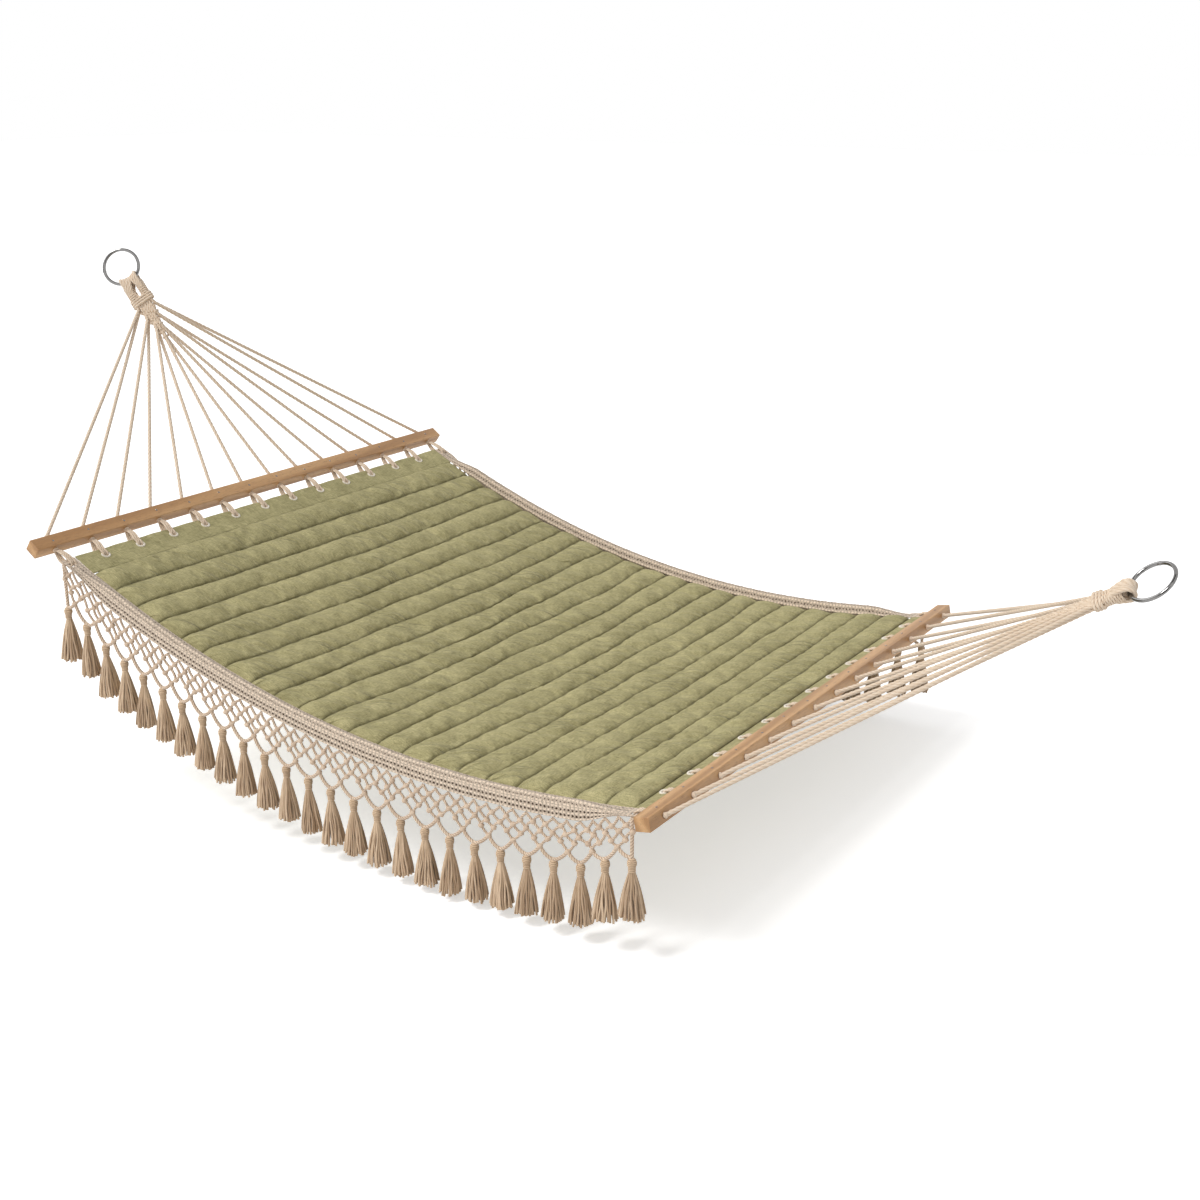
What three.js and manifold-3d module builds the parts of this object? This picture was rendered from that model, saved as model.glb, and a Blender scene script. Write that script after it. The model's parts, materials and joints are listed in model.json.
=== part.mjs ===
// Padded hammock: a quilted bed between two spreader bars, with a crochet band and a
// tasselled net fringe down each side, and a fan of cords to a steel ring at each end.
// Millimetres, +Z up, +X from the head end to the foot end, near side at -Y.
// The origin is the place where a hook bears on the inside of the head ring.

import * as THREE from 'three';
import { mergeVertices } from 'three/addons/utils/BufferGeometryUtils.js';
import Module from 'manifold-3d';

const wasm = await Module();
wasm.setup();

// Driving dimensions of the bed's line
const bedSpan = 1550; // level distance from one bar's axis to the other's
const barDrop = 250; // the foot bar hangs this much lower than the head bar
const bedSag = 135; // depth of the bed under the straight line between the bars
const clearance = 0.3; // between pieces that touch

// Spreader bars
const barLength = 1400;
const barDepth = 32; // along the cord holes
const barHeight = 28;
const barChamfer = 2;
const cordHoles = 14;
const holeDiameter = 12.2;
const headBarTilt = 36; // degrees that the outer side of the bar is raised
const footBarTilt = 11;
const barSwing = 58; // widest angle between a lacing loop and the bar's holes, degrees
const fanSwing = 75; // widest angle between a suspension cord and the bar's holes

// Quilted pad
const padWidth = 1264;
const headPadGap = 41; // from the bar's inner face to the end of the hem
const footPadGap = 14;
const channelCount = 21;
const seamHeight = 2.6; // half the pad's thickness at a stitched seam
const topCrown = 15; // height of a channel's crown over the middle of the pad
const bottomCrown = 9;
const coverThickness = 1;
const pinchWidth = 34; // how far in from the side the channels are drawn down
const seamPull = 3; // how far each seam draws the side edge in

// Flat hem at each end, with the lacing eyelets
const headHemLength = 65;
const footHemLength = 26;
const hemThickness = 3;
const headEyeletInset = 22; // from the hem's end to an eyelet's centre
const footEyeletInset = 13;
const eyeletDiameter = 13;
const eyeletMargin = 82; // from the hem's side to its first eyelet
const headEyeletShift = 12; // the eyelets sit this much nearer than the bar's holes
const footEyeletShift = 0;

// Flat cord loops that lace the hem and the bands to the bars
const loopWidth = 8;
const loopThickness = 3.6;

// Crochet bands down the sides
const bandThickness = 4;
const bandTabWidth = 36; // flat end that the corner loop goes through
const bandFlat = 6; // how far past the eyelet the band's end stays flat
const bandGather = 120; // length over which the flat end turns into the hanging band
const bandReach = 22; // how far the band stands out from the pad before it hangs
const bandSplay = 4; // how much farther out its lower edge is
const nearBandRise = 9; // how far the band stands up over the pad's side
const farBandRise = 20;
const bandHang = 27; // how far the band hangs down

// Net fringe and its tassels
const tasselCount = 26;
const netDrop = 93;
const netRows = 4;
const netStrand = 4.4;
const netThickness = 3.6;
const netEndInset = 10; // from the pad's end to the first and last tassel
const tasselLength = 118;
const tasselHeadRadius = 8.5;
const tasselHeadLength = 19;
const tasselNeckRadius = 6.5;
const tasselSkirtRadius = 21;
const tasselSides = 5;

// Suspension cords, clews and rings
const cordDiameter = 6.4;
const ringRadius = 45; // to the middle of the wire
const ringWire = 8;
const ringSides = 24;
const headFanReach = 658; // from the bar's outer face to the ring's centre
const footFanReach = 722;
const headFanLift = 49.6; // degrees above level
const footFanLift = 30;
const headClewTurn = -55; // degrees that the ring and clew are turned about the fan's line
const footClewTurn = 30;
const clewEyeLength = 62; // from the ring's wire to the binding
const clewSlot = 6; // width of the open slot in the clew's eye
const peelStep = 32; // each pair of cords leaves the clew this much further down
const peelLead = 4; // from the binding to where the first cords leave
const eyeFlare = 12; // length over which the cords part above the binding
const bightLead = 10; // the cords are this far apart this long before they turn
const bindingDiameter = 4.8;
const bindingLoops = 2;
const bindingGap = 0.6; // between neighbouring turns

const degrees = Math.PI / 180;
const vec = (x, y, z) => new THREE.Vector3(x, y, z);

// Sizes that follow from the ones above
const padHalf = padWidth / 2;
const holePitch = barLength / cordHoles;
const holeRadius = holeDiameter / 2;
const eyeletPitch = (padWidth - 2 * eyeletMargin) / (cordHoles - 3);
const cordRadius = cordDiameter / 2;

const finish = {
  cloth: { color: 0x8a8c63, roughness: 0.95, metalness: 0 },
  filling: { color: 0xe9e6de, roughness: 1, metalness: 0 },
  cord: { color: 0xcdb396, roughness: 0.9, metalness: 0 },
  fringe: { color: 0xb3936d, roughness: 0.95, metalness: 0 },
  wood: { color: 0x9a6638, roughness: 0.55, metalness: 0 },
  steel: { color: 0xc8cacc, roughness: 0.18, metalness: 1 },
};

function named(name, geometry, look) {
  const mesh = new THREE.Mesh(geometry, new THREE.MeshStandardMaterial(finish[look]));
  mesh.name = name;
  return mesh;
}

// A closed surface's faces are turned to point outwards
function facingOut(geometry) {
  const index = geometry.index.array;
  const at = (n) => new THREE.Vector3().fromBufferAttribute(geometry.attributes.position, n);
  let volume = 0;
  for (let n = 0; n < index.length; n += 3) {
    volume += at(index[n]).dot(at(index[n + 1]).cross(at(index[n + 2])));
  }
  if (volume < 0) {
    for (let n = 0; n < index.length; n += 3) {
      [index[n + 1], index[n + 2]] = [index[n + 2], index[n + 1]];
    }
  }
  return geometry;
}

function fromPoints(points, faces) {
  const geometry = new THREE.BufferGeometry().setFromPoints(points);
  geometry.setIndex(faces);
  return facingOut(geometry);
}

// A tube with closed ends. Each station has a place and a scale of the section, whose
// first axis stays as near to the hint as the route allows.
function sweep(stations, section, hint) {
  const points = [];
  const faces = [];
  const sides = section.length;
  const last = stations.length - 1;
  const toward = (from, to) => stations[to].at.clone().sub(stations[from].at).normalize();
  stations.forEach((station, n) => {
    const along = vec(0, 0, 0);
    if (n > 0) along.add(toward(n - 1, n));
    if (n < last) along.add(toward(n, n + 1));
    along.normalize();
    const side = hint.clone().addScaledVector(along, -hint.dot(along)).normalize();
    const up = side.clone().cross(along);
    for (const [across, above] of section) {
      const point = station.at.clone().addScaledVector(side, across * station.scale);
      points.push(point.addScaledVector(up, above * station.scale));
    }
  });
  for (let n = 0; n < last; n += 1) {
    for (let k = 0; k < sides; k += 1) {
      const a = n * sides + k;
      const b = n * sides + ((k + 1) % sides);
      faces.push(a, b, b + sides, a, b + sides, a + sides);
    }
  }
  const end = last * sides;
  for (let k = 1; k < sides - 1; k += 1) {
    faces.push(0, k + 1, k, end, end + k, end + k + 1);
  }
  return fromPoints(points, faces);
}

function roundSection(radius, sides) {
  return Array.from({ length: sides }, (_, k) => {
    const angle = (2 * Math.PI * k) / sides;
    return [radius * Math.cos(angle), radius * Math.sin(angle)];
  });
}

// A slab between an upper and a lower sheet of points, both with the same rows and columns
function slab(rows, columns, upper, lower) {
  const points = [];
  const faces = [];
  for (const sheet of [upper, lower]) {
    for (let r = 0; r <= rows; r += 1) {
      for (let c = 0; c <= columns; c += 1) points.push(sheet(r, c));
    }
  }
  const wide = columns + 1;
  const under = (rows + 1) * wide;
  const quad = (a, b, c, d) => faces.push(a, b, c, a, c, d);
  for (let r = 0; r < rows; r += 1) {
    for (let c = 0; c < columns; c += 1) {
      const a = r * wide + c;
      quad(a, a + wide, a + wide + 1, a + 1);
      quad(under + a, under + a + 1, under + a + wide + 1, under + a + wide);
    }
    const left = r * wide;
    const right = left + columns;
    quad(left, under + left, under + left + wide, left + wide);
    quad(right, right + wide, under + right + wide, under + right);
  }
  for (let c = 0; c < columns; c += 1) {
    const far = rows * wide + c;
    quad(c, c + 1, under + c + 1, under + c);
    quad(far, under + far, under + far + 1, far + 1);
  }
  return fromPoints(points, faces);
}

function toSolid(geometry) {
  const bare = geometry.clone();
  bare.deleteAttribute('normal');
  bare.deleteAttribute('uv');
  const merged = mergeVertices(bare, 1e-4);
  const corners = merged.index.array;
  const faces = [];
  for (let n = 0; n < corners.length; n += 3) {
    const [a, b, c] = corners.slice(n, n + 3);
    // a turned shape has faces of no area where it meets its axis
    if (a !== b && b !== c && c !== a) faces.push(a, b, c);
  }
  const solid = new wasm.Mesh({
    numProp: 3,
    vertProperties: new Float32Array(merged.attributes.position.array),
    triVerts: new Uint32Array(faces),
  });
  return new wasm.Manifold(solid);
}

function toGeometry(solid) {
  const mesh = solid.getMesh();
  const geometry = new THREE.BufferGeometry();
  geometry.setAttribute('position', new THREE.BufferAttribute(mesh.vertProperties, 3));
  geometry.setIndex(Array.from(mesh.triVerts));
  return geometry;
}

// The bed's line from bar axis to bar axis: a parabola, walked by its real length
const bedLine = new THREE.QuadraticBezierCurve3(
  vec(-bedSpan / 2, 0, 0),
  vec(0, 0, -barDrop / 2 - 2 * bedSag),
  vec(bedSpan / 2, 0, -barDrop),
);
bedLine.arcLengthDivisions = 800;
const bedLength = bedLine.getLength();

function onBed(along, across, height) {
  const point = bedLine.getPointAt(along / bedLength);
  const slope = bedLine.getTangentAt(along / bedLength);
  return vec(point.x - slope.z * height, across, point.z + slope.x * height);
}

// The two ends of the hammock, each built in its own frame: its bar's axis at the origin
// and its x axis pointing in towards the bed
const ends = {
  head: {
    at: vec(-bedSpan / 2, 0, 0),
    turn: 0,
    near: -1,
    barTilt: headBarTilt,
    padStart: barDepth / 2 + headPadGap,
    hemLength: headHemLength,
    eyeletInset: headEyeletInset,
    eyeletShift: headEyeletShift,
    fanReach: headFanReach,
    fanLift: headFanLift,
    clewTurn: headClewTurn,
  },
  foot: {
    at: vec(bedSpan / 2, 0, -barDrop),
    turn: Math.PI,
    near: 1,
    barTilt: footBarTilt,
    padStart: barDepth / 2 + footPadGap,
    hemLength: footHemLength,
    eyeletInset: footEyeletInset,
    eyeletShift: footEyeletShift,
    fanReach: footFanReach,
    fanLift: footFanLift,
    clewTurn: footClewTurn,
  },
};

// How far a piece of this half width has to stand off a hole's mouth to swing this far
function standOff(halfWidth, mouthRadius, swing) {
  const angle = swing * degrees;
  return (halfWidth + clearance - mouthRadius * Math.cos(angle)) / Math.sin(angle);
}

const loopHalf = loopThickness + clearance / 2;
const loopChord = Math.sqrt(holeRadius ** 2 - (loopWidth / 2) ** 2);
const loopStandOff = standOff(loopHalf, loopChord, barSwing);
const cordStandOff = standOff(cordRadius, holeRadius, fanSwing);

function intoBar(end, distance) {
  const tilt = end.barTilt * degrees;
  return vec(distance * Math.cos(tilt), 0, -distance * Math.sin(tilt));
}

for (const end of Object.values(ends)) {
  end.innerHinge = intoBar(end, barDepth / 2 + loopStandOff);
  end.outerHinge = intoBar(end, -barDepth / 2 - cordStandOff);
  // the hem's frame: its middle, the direction in towards the bed and the way up
  const middle = end.padStart + end.hemLength / 2;
  const along = end.turn ? bedLength - middle : middle;
  const slope = bedLine.getTangentAt(along / bedLength);
  if (end.turn) slope.negate();
  end.hemAt = onBed(along, 0, 0).sub(end.at);
  end.inward = slope.applyAxisAngle(vec(0, 0, 1), end.turn);
  end.hemAt.applyAxisAngle(vec(0, 0, 1), end.turn);
  end.up = end.inward.clone().cross(vec(0, 1, 0));
  end.eyeletAlong = end.eyeletInset - end.hemLength / 2;
}

function holeAcross(n) {
  return (n - (cordHoles - 1) / 2) * holePitch;
}

function eyeletAcross(end, n) {
  return (n - (cordHoles - 1) / 2) * eyeletPitch + end.near * end.eyeletShift;
}

// Quilted covers and wadding. The covers are sewn together along the sides, and the
// wadding ends where they are drawn together.

const quiltStart = ends.head.padStart + ends.head.hemLength + clearance;
const quiltEnd = bedLength - (ends.foot.padStart + ends.foot.hemLength + clearance);
const channelPitch = (quiltEnd - quiltStart) / channelCount;
const channelSteps = 3; // a channel is flat-topped over its middle third
const sideHeight = coverThickness + clearance / 2;
const sideSwell = 0.12; // of a channel's swell is left at the side
const wideStops = [-1, -1, 1, 1];
const innerStops = [-1, 1];

function quiltSheet(crown, depth, stops) {
  const sign = Math.sign(crown);
  return (r, c) => {
    const phase = (r % channelSteps) / channelSteps;
    const swell = Math.sin(Math.PI * phase) ** 0.7;
    const along = quiltStart + (r / channelSteps) * channelPitch;
    const atSide = stops.length > 2 && (c === 0 || c === stops.length - 1);
    let half = padHalf - pinchWidth;
    let height = seamHeight + (Math.abs(crown) - seamHeight) * swell;
    if (atSide) {
      half = padHalf - (phase === 0 ? seamPull : 0);
      height = sideHeight + Math.abs(crown) * swell * sideSwell;
    }
    return onBed(along, stops[c] * half, sign * (height - depth));
  };
}

function quiltLayer(top, bottom, stops) {
  return slab(channelCount * channelSteps, stops.length - 1, top, bottom);
}

function quiltCover(crown) {
  const outside = quiltSheet(crown, 0, wideStops);
  const inside = quiltSheet(crown, coverThickness, wideStops);
  return quiltLayer(outside, inside, wideStops);
}

function quiltWadding() {
  const depth = coverThickness + clearance;
  const top = quiltSheet(topCrown, depth, innerStops);
  const bottom = quiltSheet(-bottomCrown, depth, innerStops);
  return quiltLayer(top, bottom, innerStops);
}

// Hem: a flat folded strip with a row of eyelets

function roundHole(x, y, radius, sides) {
  const points = roundSection(radius / Math.cos(Math.PI / sides), sides);
  return new THREE.Path(points.map(([a, b]) => new THREE.Vector2(x + a, y + b)));
}

function hem(end) {
  const half = end.hemLength / 2;
  const outline = new THREE.Shape([
    new THREE.Vector2(-half, -padHalf),
    new THREE.Vector2(half, -padHalf),
    new THREE.Vector2(half, padHalf),
    new THREE.Vector2(-half, padHalf),
  ]);
  for (let n = 1; n < cordHoles - 1; n += 1) {
    outline.holes.push(roundHole(end.eyeletAlong, eyeletAcross(end, n), eyeletDiameter / 2, 8));
  }
  const strip = new THREE.ExtrudeGeometry(outline, { depth: hemThickness, bevelEnabled: false });
  strip.translate(0, 0, -hemThickness / 2);
  const frame = new THREE.Matrix4().makeBasis(end.inward, vec(0, 1, 0), end.up);
  return strip.applyMatrix4(frame.setPosition(end.hemAt));
}

// Lacing loop: both ends in a hole of the bar, and its bight through an eyelet

function lacingLoop(end, holeY, eyeletY, sheetThickness) {
  const place = (along, across, height) =>
    vec(0, across, 0).add(end.hemAt)
      .addScaledVector(end.inward, along)
      .addScaledVector(end.up, height);
  const hinge = end.innerHinge.clone().sub(end.hemAt);
  const hingeAlong = hinge.dot(end.inward);
  const hingeHeight = hinge.dot(end.up);
  const eyeletChord = Math.sqrt((eyeletDiameter / 2) ** 2 - (loopWidth / 2) ** 2);
  const bight = end.eyeletAlong - eyeletChord + clearance + loopThickness / 2;
  const rise = sheetThickness / 2 + 2 * clearance + loopThickness / 2;
  const bevel = loopThickness * 0.4;
  const legGap = loopThickness / 2 + clearance / 2;
  const tuck = loopStandOff + clearance;
  const leg = (side) => [
    place(hingeAlong - tuck, holeY, hingeHeight + side * legGap),
    place(-end.hemLength / 2 - 2, holeY + (eyeletY - holeY) * 0.5, side * rise),
    place(bight - bevel, eyeletY, side * rise),
    place(bight, eyeletY, side * (rise - bevel)),
  ];
  const route = [...leg(1), ...leg(-1).reverse()];
  const [wide, thick] = [loopWidth / 2, loopThickness / 2];
  const section = [[-wide, -thick], [wide, -thick], [wide, thick], [-wide, thick]];
  return sweep(route.map((at) => ({ at, scale: 1 })), section, vec(0, 1, 0));
}

// Crochet band: flat tabs at both ends, turning into a strip that hangs over the side

function bandShare(along) {
  const fromEyelet = Math.min(
    along - ends.head.padStart - ends.head.eyeletInset,
    bedLength - ends.foot.padStart - ends.foot.eyeletInset - along,
  );
  const flat = eyeletDiameter / 2 + bandFlat;
  return THREE.MathUtils.smoothstep(fromEyelet, flat, flat + bandGather);
}

const bandEdge = padHalf + clearance;
const bandTurn = 3; // stops across the band from its inner edge to its lower edge
const tasselStart = ends.head.padStart + netEndInset;
const tasselEnd = bedLength - ends.foot.padStart - netEndInset;
const tasselPitch = (tasselEnd - tasselStart) / (tasselCount - 1);

// The band has a stop over every tassel, and between them where it turns down
const bandStops = [ends.head.padStart];
for (let n = 0; n < tasselCount; n += 1) {
  bandStops.push(tasselStart + n * tasselPitch);
  const fromEnd = Math.min(n, tasselCount - 2 - n);
  if (fromEnd >= 0 && fromEnd < 2) bandStops.push(tasselStart + (n + 0.5) * tasselPitch);
}
bandStops.push(bedLength - ends.foot.padStart);

function bandLine(side, along, stop) {
  const hang = bandShare(along);
  const rise = side < 0 ? nearBandRise : farBandRise;
  const flat = [(stop / bandTurn) * bandTabWidth, 0];
  const hung = [
    [0, 0],
    [bandReach / 2, rise],
    [bandReach, rise],
    [bandReach + bandSplay, -bandHang],
  ][stop];
  return [
    flat[0] + (hung[0] - flat[0]) * hang,
    flat[1] + (hung[1] - flat[1]) * hang,
  ];
}

function sideBand(side) {
  const sheet = (face) => (r, c) => {
    const along = bandStops[r];
    const [out, down] = bandLine(side, along, c);
    // the thickness lies square to the band's own line, which starts level at the pad
    const before = c === 0 ? [out - 1, down] : bandLine(side, along, c - 1);
    const after = c === 0 ? [out, down] : bandLine(side, along, Math.min(c + 1, bandTurn));
    const run = new THREE.Vector2(after[0] - before[0], after[1] - before[1]).normalize();
    const y = out - (face * run.y * bandThickness) / 2;
    const z = down + (face * run.x * bandThickness) / 2;
    return onBed(along, side * (bandEdge + y), z);
  };
  let band = toSolid(slab(bandStops.length - 1, bandTurn, sheet(1), sheet(-1)));
  for (const end of Object.values(ends)) {
    const drill = new THREE.CylinderGeometry(1, 1, 1, 8);
    const radius = eyeletDiameter / 2 / Math.cos(Math.PI / 8);
    drill.scale(radius, 4 * bandThickness, radius);
    drill.rotateX(Math.PI / 2);
    const frame = new THREE.Matrix4().makeBasis(end.inward, vec(0, 1, 0), end.up);
    const at = end.hemAt.clone().addScaledVector(end.inward, end.eyeletAlong);
    drill.applyMatrix4(frame.setPosition(at));
    drill.rotateZ(end.turn);
    drill.translate(end.at.x, side * cornerAcross, end.at.z);
    band = band.subtract(toSolid(drill));
  }
  return toGeometry(band);
}

const cornerAcross = bandEdge + bandTabWidth / 2;

// Net fringe: a flat net of diamonds under the band, with a tassel on each lowest knot

const rowDrop = netDrop / netRows;

// The net is made of slanting strands between knots. A knot has four corners, to the
// left, above, to the right and below it, each on the front and on the back.
const knotWide = (netStrand / 2) * Math.hypot(1, tasselPitch / 2 / rowDrop);
const knotTall = (netStrand / 2) * Math.hypot(1, rowDrop / (tasselPitch / 2));
const knotCorners = [[-knotWide, 0], [0, knotTall], [knotWide, 0], [0, -knotTall]];

function net(side) {
  const points = [];
  const faces = [];
  const knots = new Map();
  const quad = (a, b, c, d) => faces.push(a, b, c, a, c, d);
  const closed = (a, b) => quad(a, b, b + 4, a + 4);
  const inRow = (row) => (row % 2 ? tasselCount - 1 : tasselCount);
  for (let row = 0; row <= netRows; row += 1) {
    for (let n = 0; n < inRow(row); n += 1) {
      const first = points.length;
      knots.set(`${row} ${n}`, first);
      const x = (n + (row % 2 ? 0.5 : 0)) * tasselPitch;
      for (const depth of [0, netThickness]) {
        for (const [out, up] of knotCorners) {
          points.push(netPlace(side, tasselStart + x + out, row * rowDrop + knotTall - up, depth));
        }
      }
      quad(first, first + 1, first + 2, first + 3);
      quad(first + 7, first + 6, first + 5, first + 4);
    }
  }
  // from each knot to the ones below it, on the left and on the right
  for (const [place, knot] of knots) {
    const [row, n] = place.split(' ').map(Number);
    const shift = row % 2 ? 0 : -1;
    const below = (offset) => knots.get(`${row + 1} ${n + shift + offset}`);
    const above = (offset) => knots.get(`${row - 1} ${n + shift + offset}`);
    const strands = [[below(0), 3, 0, 2, 1], [below(1), 2, 3, 1, 0]];
    for (const [other, a, b, c, d] of strands) {
      if (other === undefined) {
        closed(knot + b, knot + a);
        continue;
      }
      quad(knot + b, knot + a, other + c, other + d);
      quad(other + d + 4, other + c + 4, knot + a + 4, knot + b + 4);
      closed(other + c, knot + a);
      closed(knot + b, other + d);
    }
    if (above(0) === undefined) closed(knot + 1, knot);
    if (above(1) === undefined) closed(knot + 2, knot + 1);
  }
  return fromPoints(points, faces);
}

function netPlace(side, along, drop, depth) {
  const [out, down] = bandLine(side, along, bandTurn);
  const top = onBed(along, 0, down - bandThickness / 2);
  const base = side < 0 ? -(bandEdge + out) : bandEdge + out;
  return vec(top.x, base + netThickness / 2 - depth, top.z - clearance - drop);
}

function tassel() {
  const profile = [
    [0, 3],
    [tasselHeadRadius, -tasselHeadLength * 0.35],
    [tasselNeckRadius, -tasselHeadLength],
    [tasselSkirtRadius, -tasselLength + 2],
    [0, -tasselLength],
  ];
  const turned = new THREE.LatheGeometry(
    profile.map(([r, z]) => new THREE.Vector2(r, z)).reverse(),
    tasselSides,
  );
  return turned.rotateX(Math.PI / 2);
}

function fringe(side) {
  let whole = toSolid(net(side));
  for (let n = 0; n < tasselCount; n += 1) {
    const at = netPlace(side, tasselStart + n * tasselPitch, netDrop + knotTall, netThickness / 2);
    const hung = tassel().translate(at.x, at.y, at.z);
    whole = whole.add(toSolid(hung));
  }
  return toGeometry(whole);
}

// Spreader bar: a chamfered hardwood bar, drilled through for the cords

function spreaderBar(end) {
  const [x, z] = [barDepth / 2, barHeight / 2];
  const corners = [[x - barChamfer, z], [x, z - barChamfer]];
  const outline = [];
  for (const [sx, sz] of [[1, 1], [1, -1], [-1, -1], [-1, 1]]) {
    const pair = corners.map(([cx, cz]) => new THREE.Vector2(cx * sx, cz * sz));
    outline.push(...(sx * sz > 0 ? pair : pair.reverse()));
  }
  const blank = new THREE.ExtrudeGeometry(new THREE.Shape(outline), {
    depth: barLength,
    bevelEnabled: false,
  });
  blank.rotateX(Math.PI / 2).translate(0, barLength / 2, 0);
  let bar = toSolid(blank);
  const radius = holeRadius / Math.cos(Math.PI / 8);
  for (let n = 0; n < cordHoles; n += 1) {
    const drill = new THREE.CylinderGeometry(radius, radius, 2 * barDepth, 8);
    drill.rotateZ(Math.PI / 2).translate(0, holeAcross(n), 0);
    bar = bar.subtract(toSolid(drill));
  }
  return toGeometry(bar).rotateY(end.barTilt * degrees);
}

// Clew: the cords go up through the ring in seven side-by-side columns and come back
// behind it. The clew's own frame has x out along the fan's line, y across the columns
// and z through them, and is turned about x against the fan.

const columnPitch = cordDiameter + clearance;
const columnCount = cordHoles / 2;
const columnReach = (columnPitch * (columnCount - 1)) / 2;
const layerHalf = columnPitch / 2;
// how far the wire has curved away by a cord's outer edge
const wireRise = (across) =>
  ringRadius - Math.sqrt(ringRadius ** 2 - (Math.abs(across) + cordRadius) ** 2);
const bightRadius = wireRise(columnReach) + ringWire / 2 + 2 * clearance + cordRadius;
const bindingRadius = bindingDiameter / 2;
const bindingPitch = bindingDiameter + bindingGap;
const bindingHalf = (bindingPitch * bindingLoops) / 2 + bindingDiameter;
const knotRadius = holeRadius - clearance;

function cordRoute(end, column) {
  const turn = end.clewTurn * degrees;
  const fromClew = (x, y, z) => vec(x, y, z).applyAxisAngle(vec(1, 0, 0), turn);
  const across = (column - (columnCount - 1) / 2) * columnPitch;
  const wire = end.fanReach - ringRadius;
  const bindingAt = wire - clewEyeLength;
  const bightAt = wire + wireRise(across) + ringWire / 2 + clearance * 2
    - (bightRadius - cordRadius);
  const parted = across + (column < 3 ? -1 : 1) * (clewSlot / 2);
  const order = columnCount / 2 - 0.5 - Math.abs(column - (columnCount - 1) / 2);
  const peelAt = bindingAt - bindingHalf - peelLead - order * peelStep;

  const leg = (side) => {
    // the layer that leans to the lower side goes to the lower hole
    const higher = side * Math.sign(turn) < 0 ? 1 : 0;
    const hole = vec(0, holeAcross(2 * column + higher), 0);
    const peel = fromClew(peelAt, across, side * layerHalf);
    const line = peel.clone().sub(hole).normalize();
    return [
      { at: hole, scale: knotRadius / cordRadius },
      { at: hole.clone().addScaledVector(line, knotRadius), scale: 1 },
      { at: peel, scale: 1 },
      { at: fromClew(bindingAt + bindingHalf, across, side * layerHalf), scale: 1 },
      { at: fromClew(bindingAt + bindingHalf + eyeFlare, parted, side * layerHalf * 1.3), scale: 1 },
      { at: fromClew(wire - bightRadius - bightLead, parted, side * bightRadius * 0.85), scale: 1 },
    ];
  };
  const steps = 5;
  const bight = Array.from({ length: steps + 1 }, (_, n) => {
    const angle = Math.PI * (n / steps - 0.5);
    const reach = n > 0 && n < steps ? bightRadius / Math.cos(Math.PI / steps / 2) : bightRadius;
    return {
      at: fromClew(bightAt + reach * Math.cos(angle), across, -reach * Math.sin(angle)),
      scale: 1,
    };
  });
  return [...leg(1), ...bight, ...leg(-1).reverse()];
}

function suspensionCord(end, column) {
  const turn = end.clewTurn * degrees;
  const hint = vec(0, Math.cos(turn), Math.sin(turn));
  return sweep(cordRoute(end, column), roundSection(cordRadius, 5), hint);
}

// Binding: a cord wound round all the strands under the clew's eye

function bindingRoute(end) {
  const turn = end.clewTurn * degrees;
  const corner = cordRadius + 2 * clearance + bindingRadius;
  const middle = end.fanReach - ringRadius - clewEyeLength;
  const ring = [];
  for (const [sy, sz, from] of [[1, 1, 0], [-1, 1, 90], [-1, -1, 180], [1, -1, 270]]) {
    for (let n = 0; n <= 4; n += 1) {
      const angle = (from + n * 22.5) * degrees;
      ring.push([
        sy * columnReach + corner * Math.cos(angle),
        sz * layerHalf + corner * Math.sin(angle),
      ]);
    }
    // the long sides have two stops between their corners
    if (sy === sz) {
      ring.push([(sy * columnReach) / 3, sz * (layerHalf + corner)]);
      ring.push([(-sy * columnReach) / 3, sz * (layerHalf + corner)]);
    }
  }
  const count = ring.length * bindingLoops;
  const climb = bindingPitch / ring.length;
  const place = (n) => {
    const [y, z] = ring[n % ring.length];
    return vec(middle + (n - count / 2) * climb, y, z);
  };
  const route = Array.from({ length: count }, (_, n) => place(n));
  // both ends run straight for one diameter
  const tail = (from, to) =>
    from.clone().addScaledVector(from.clone().sub(to).normalize(), bindingDiameter);
  route.unshift(tail(route[0], route[1]));
  route.push(tail(route.at(-1), route.at(-2)));
  return route.map((at) => at.applyAxisAngle(vec(1, 0, 0), turn));
}

// The least gap between a winding's turns, measured on its route's points
function leastGap(route, diameter) {
  let least = Infinity;
  const apart = 8;
  for (let a = 0; a < route.length; a += 1) {
    for (let b = a + apart; b < route.length - 1; b += 1) {
      const stretch = new THREE.Line3(route[b], route[b + 1]);
      const near = stretch.closestPointToPoint(route[a], true, vec(0, 0, 0));
      least = Math.min(least, near.distanceTo(route[a]) - diameter);
    }
  }
  return least;
}

function clewBinding(end, name) {
  const route = bindingRoute(end);
  console.log(`${name}: least gap between turns ${leastGap(route, bindingDiameter).toFixed(2)} mm`);
  const hint = vec(1, 0, 0);
  return sweep(route.map((at) => ({ at, scale: 1 })), roundSection(bindingRadius, 6), hint);
}

function ring(end) {
  const torus = new THREE.TorusGeometry(ringRadius, ringWire / 2, 8, ringSides);
  return torus.rotateX(end.clewTurn * degrees).translate(end.fanReach, 0, 0);
}

// Assembly

const hammock = new THREE.Group();
hammock.add(named('quilt_top_cover', quiltCover(topCrown), 'cloth'));
hammock.add(named('quilt_wadding', quiltWadding(), 'filling'));
hammock.add(named('quilt_bottom_cover', quiltCover(-bottomCrown), 'cloth'));
for (const [name, side] of [['near', -1], ['far', 1]]) {
  hammock.add(named(`${name}_side_band`, sideBand(side), 'cord'));
  hammock.add(named(`${name}_fringe`, fringe(side), 'fringe'));
}

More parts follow.
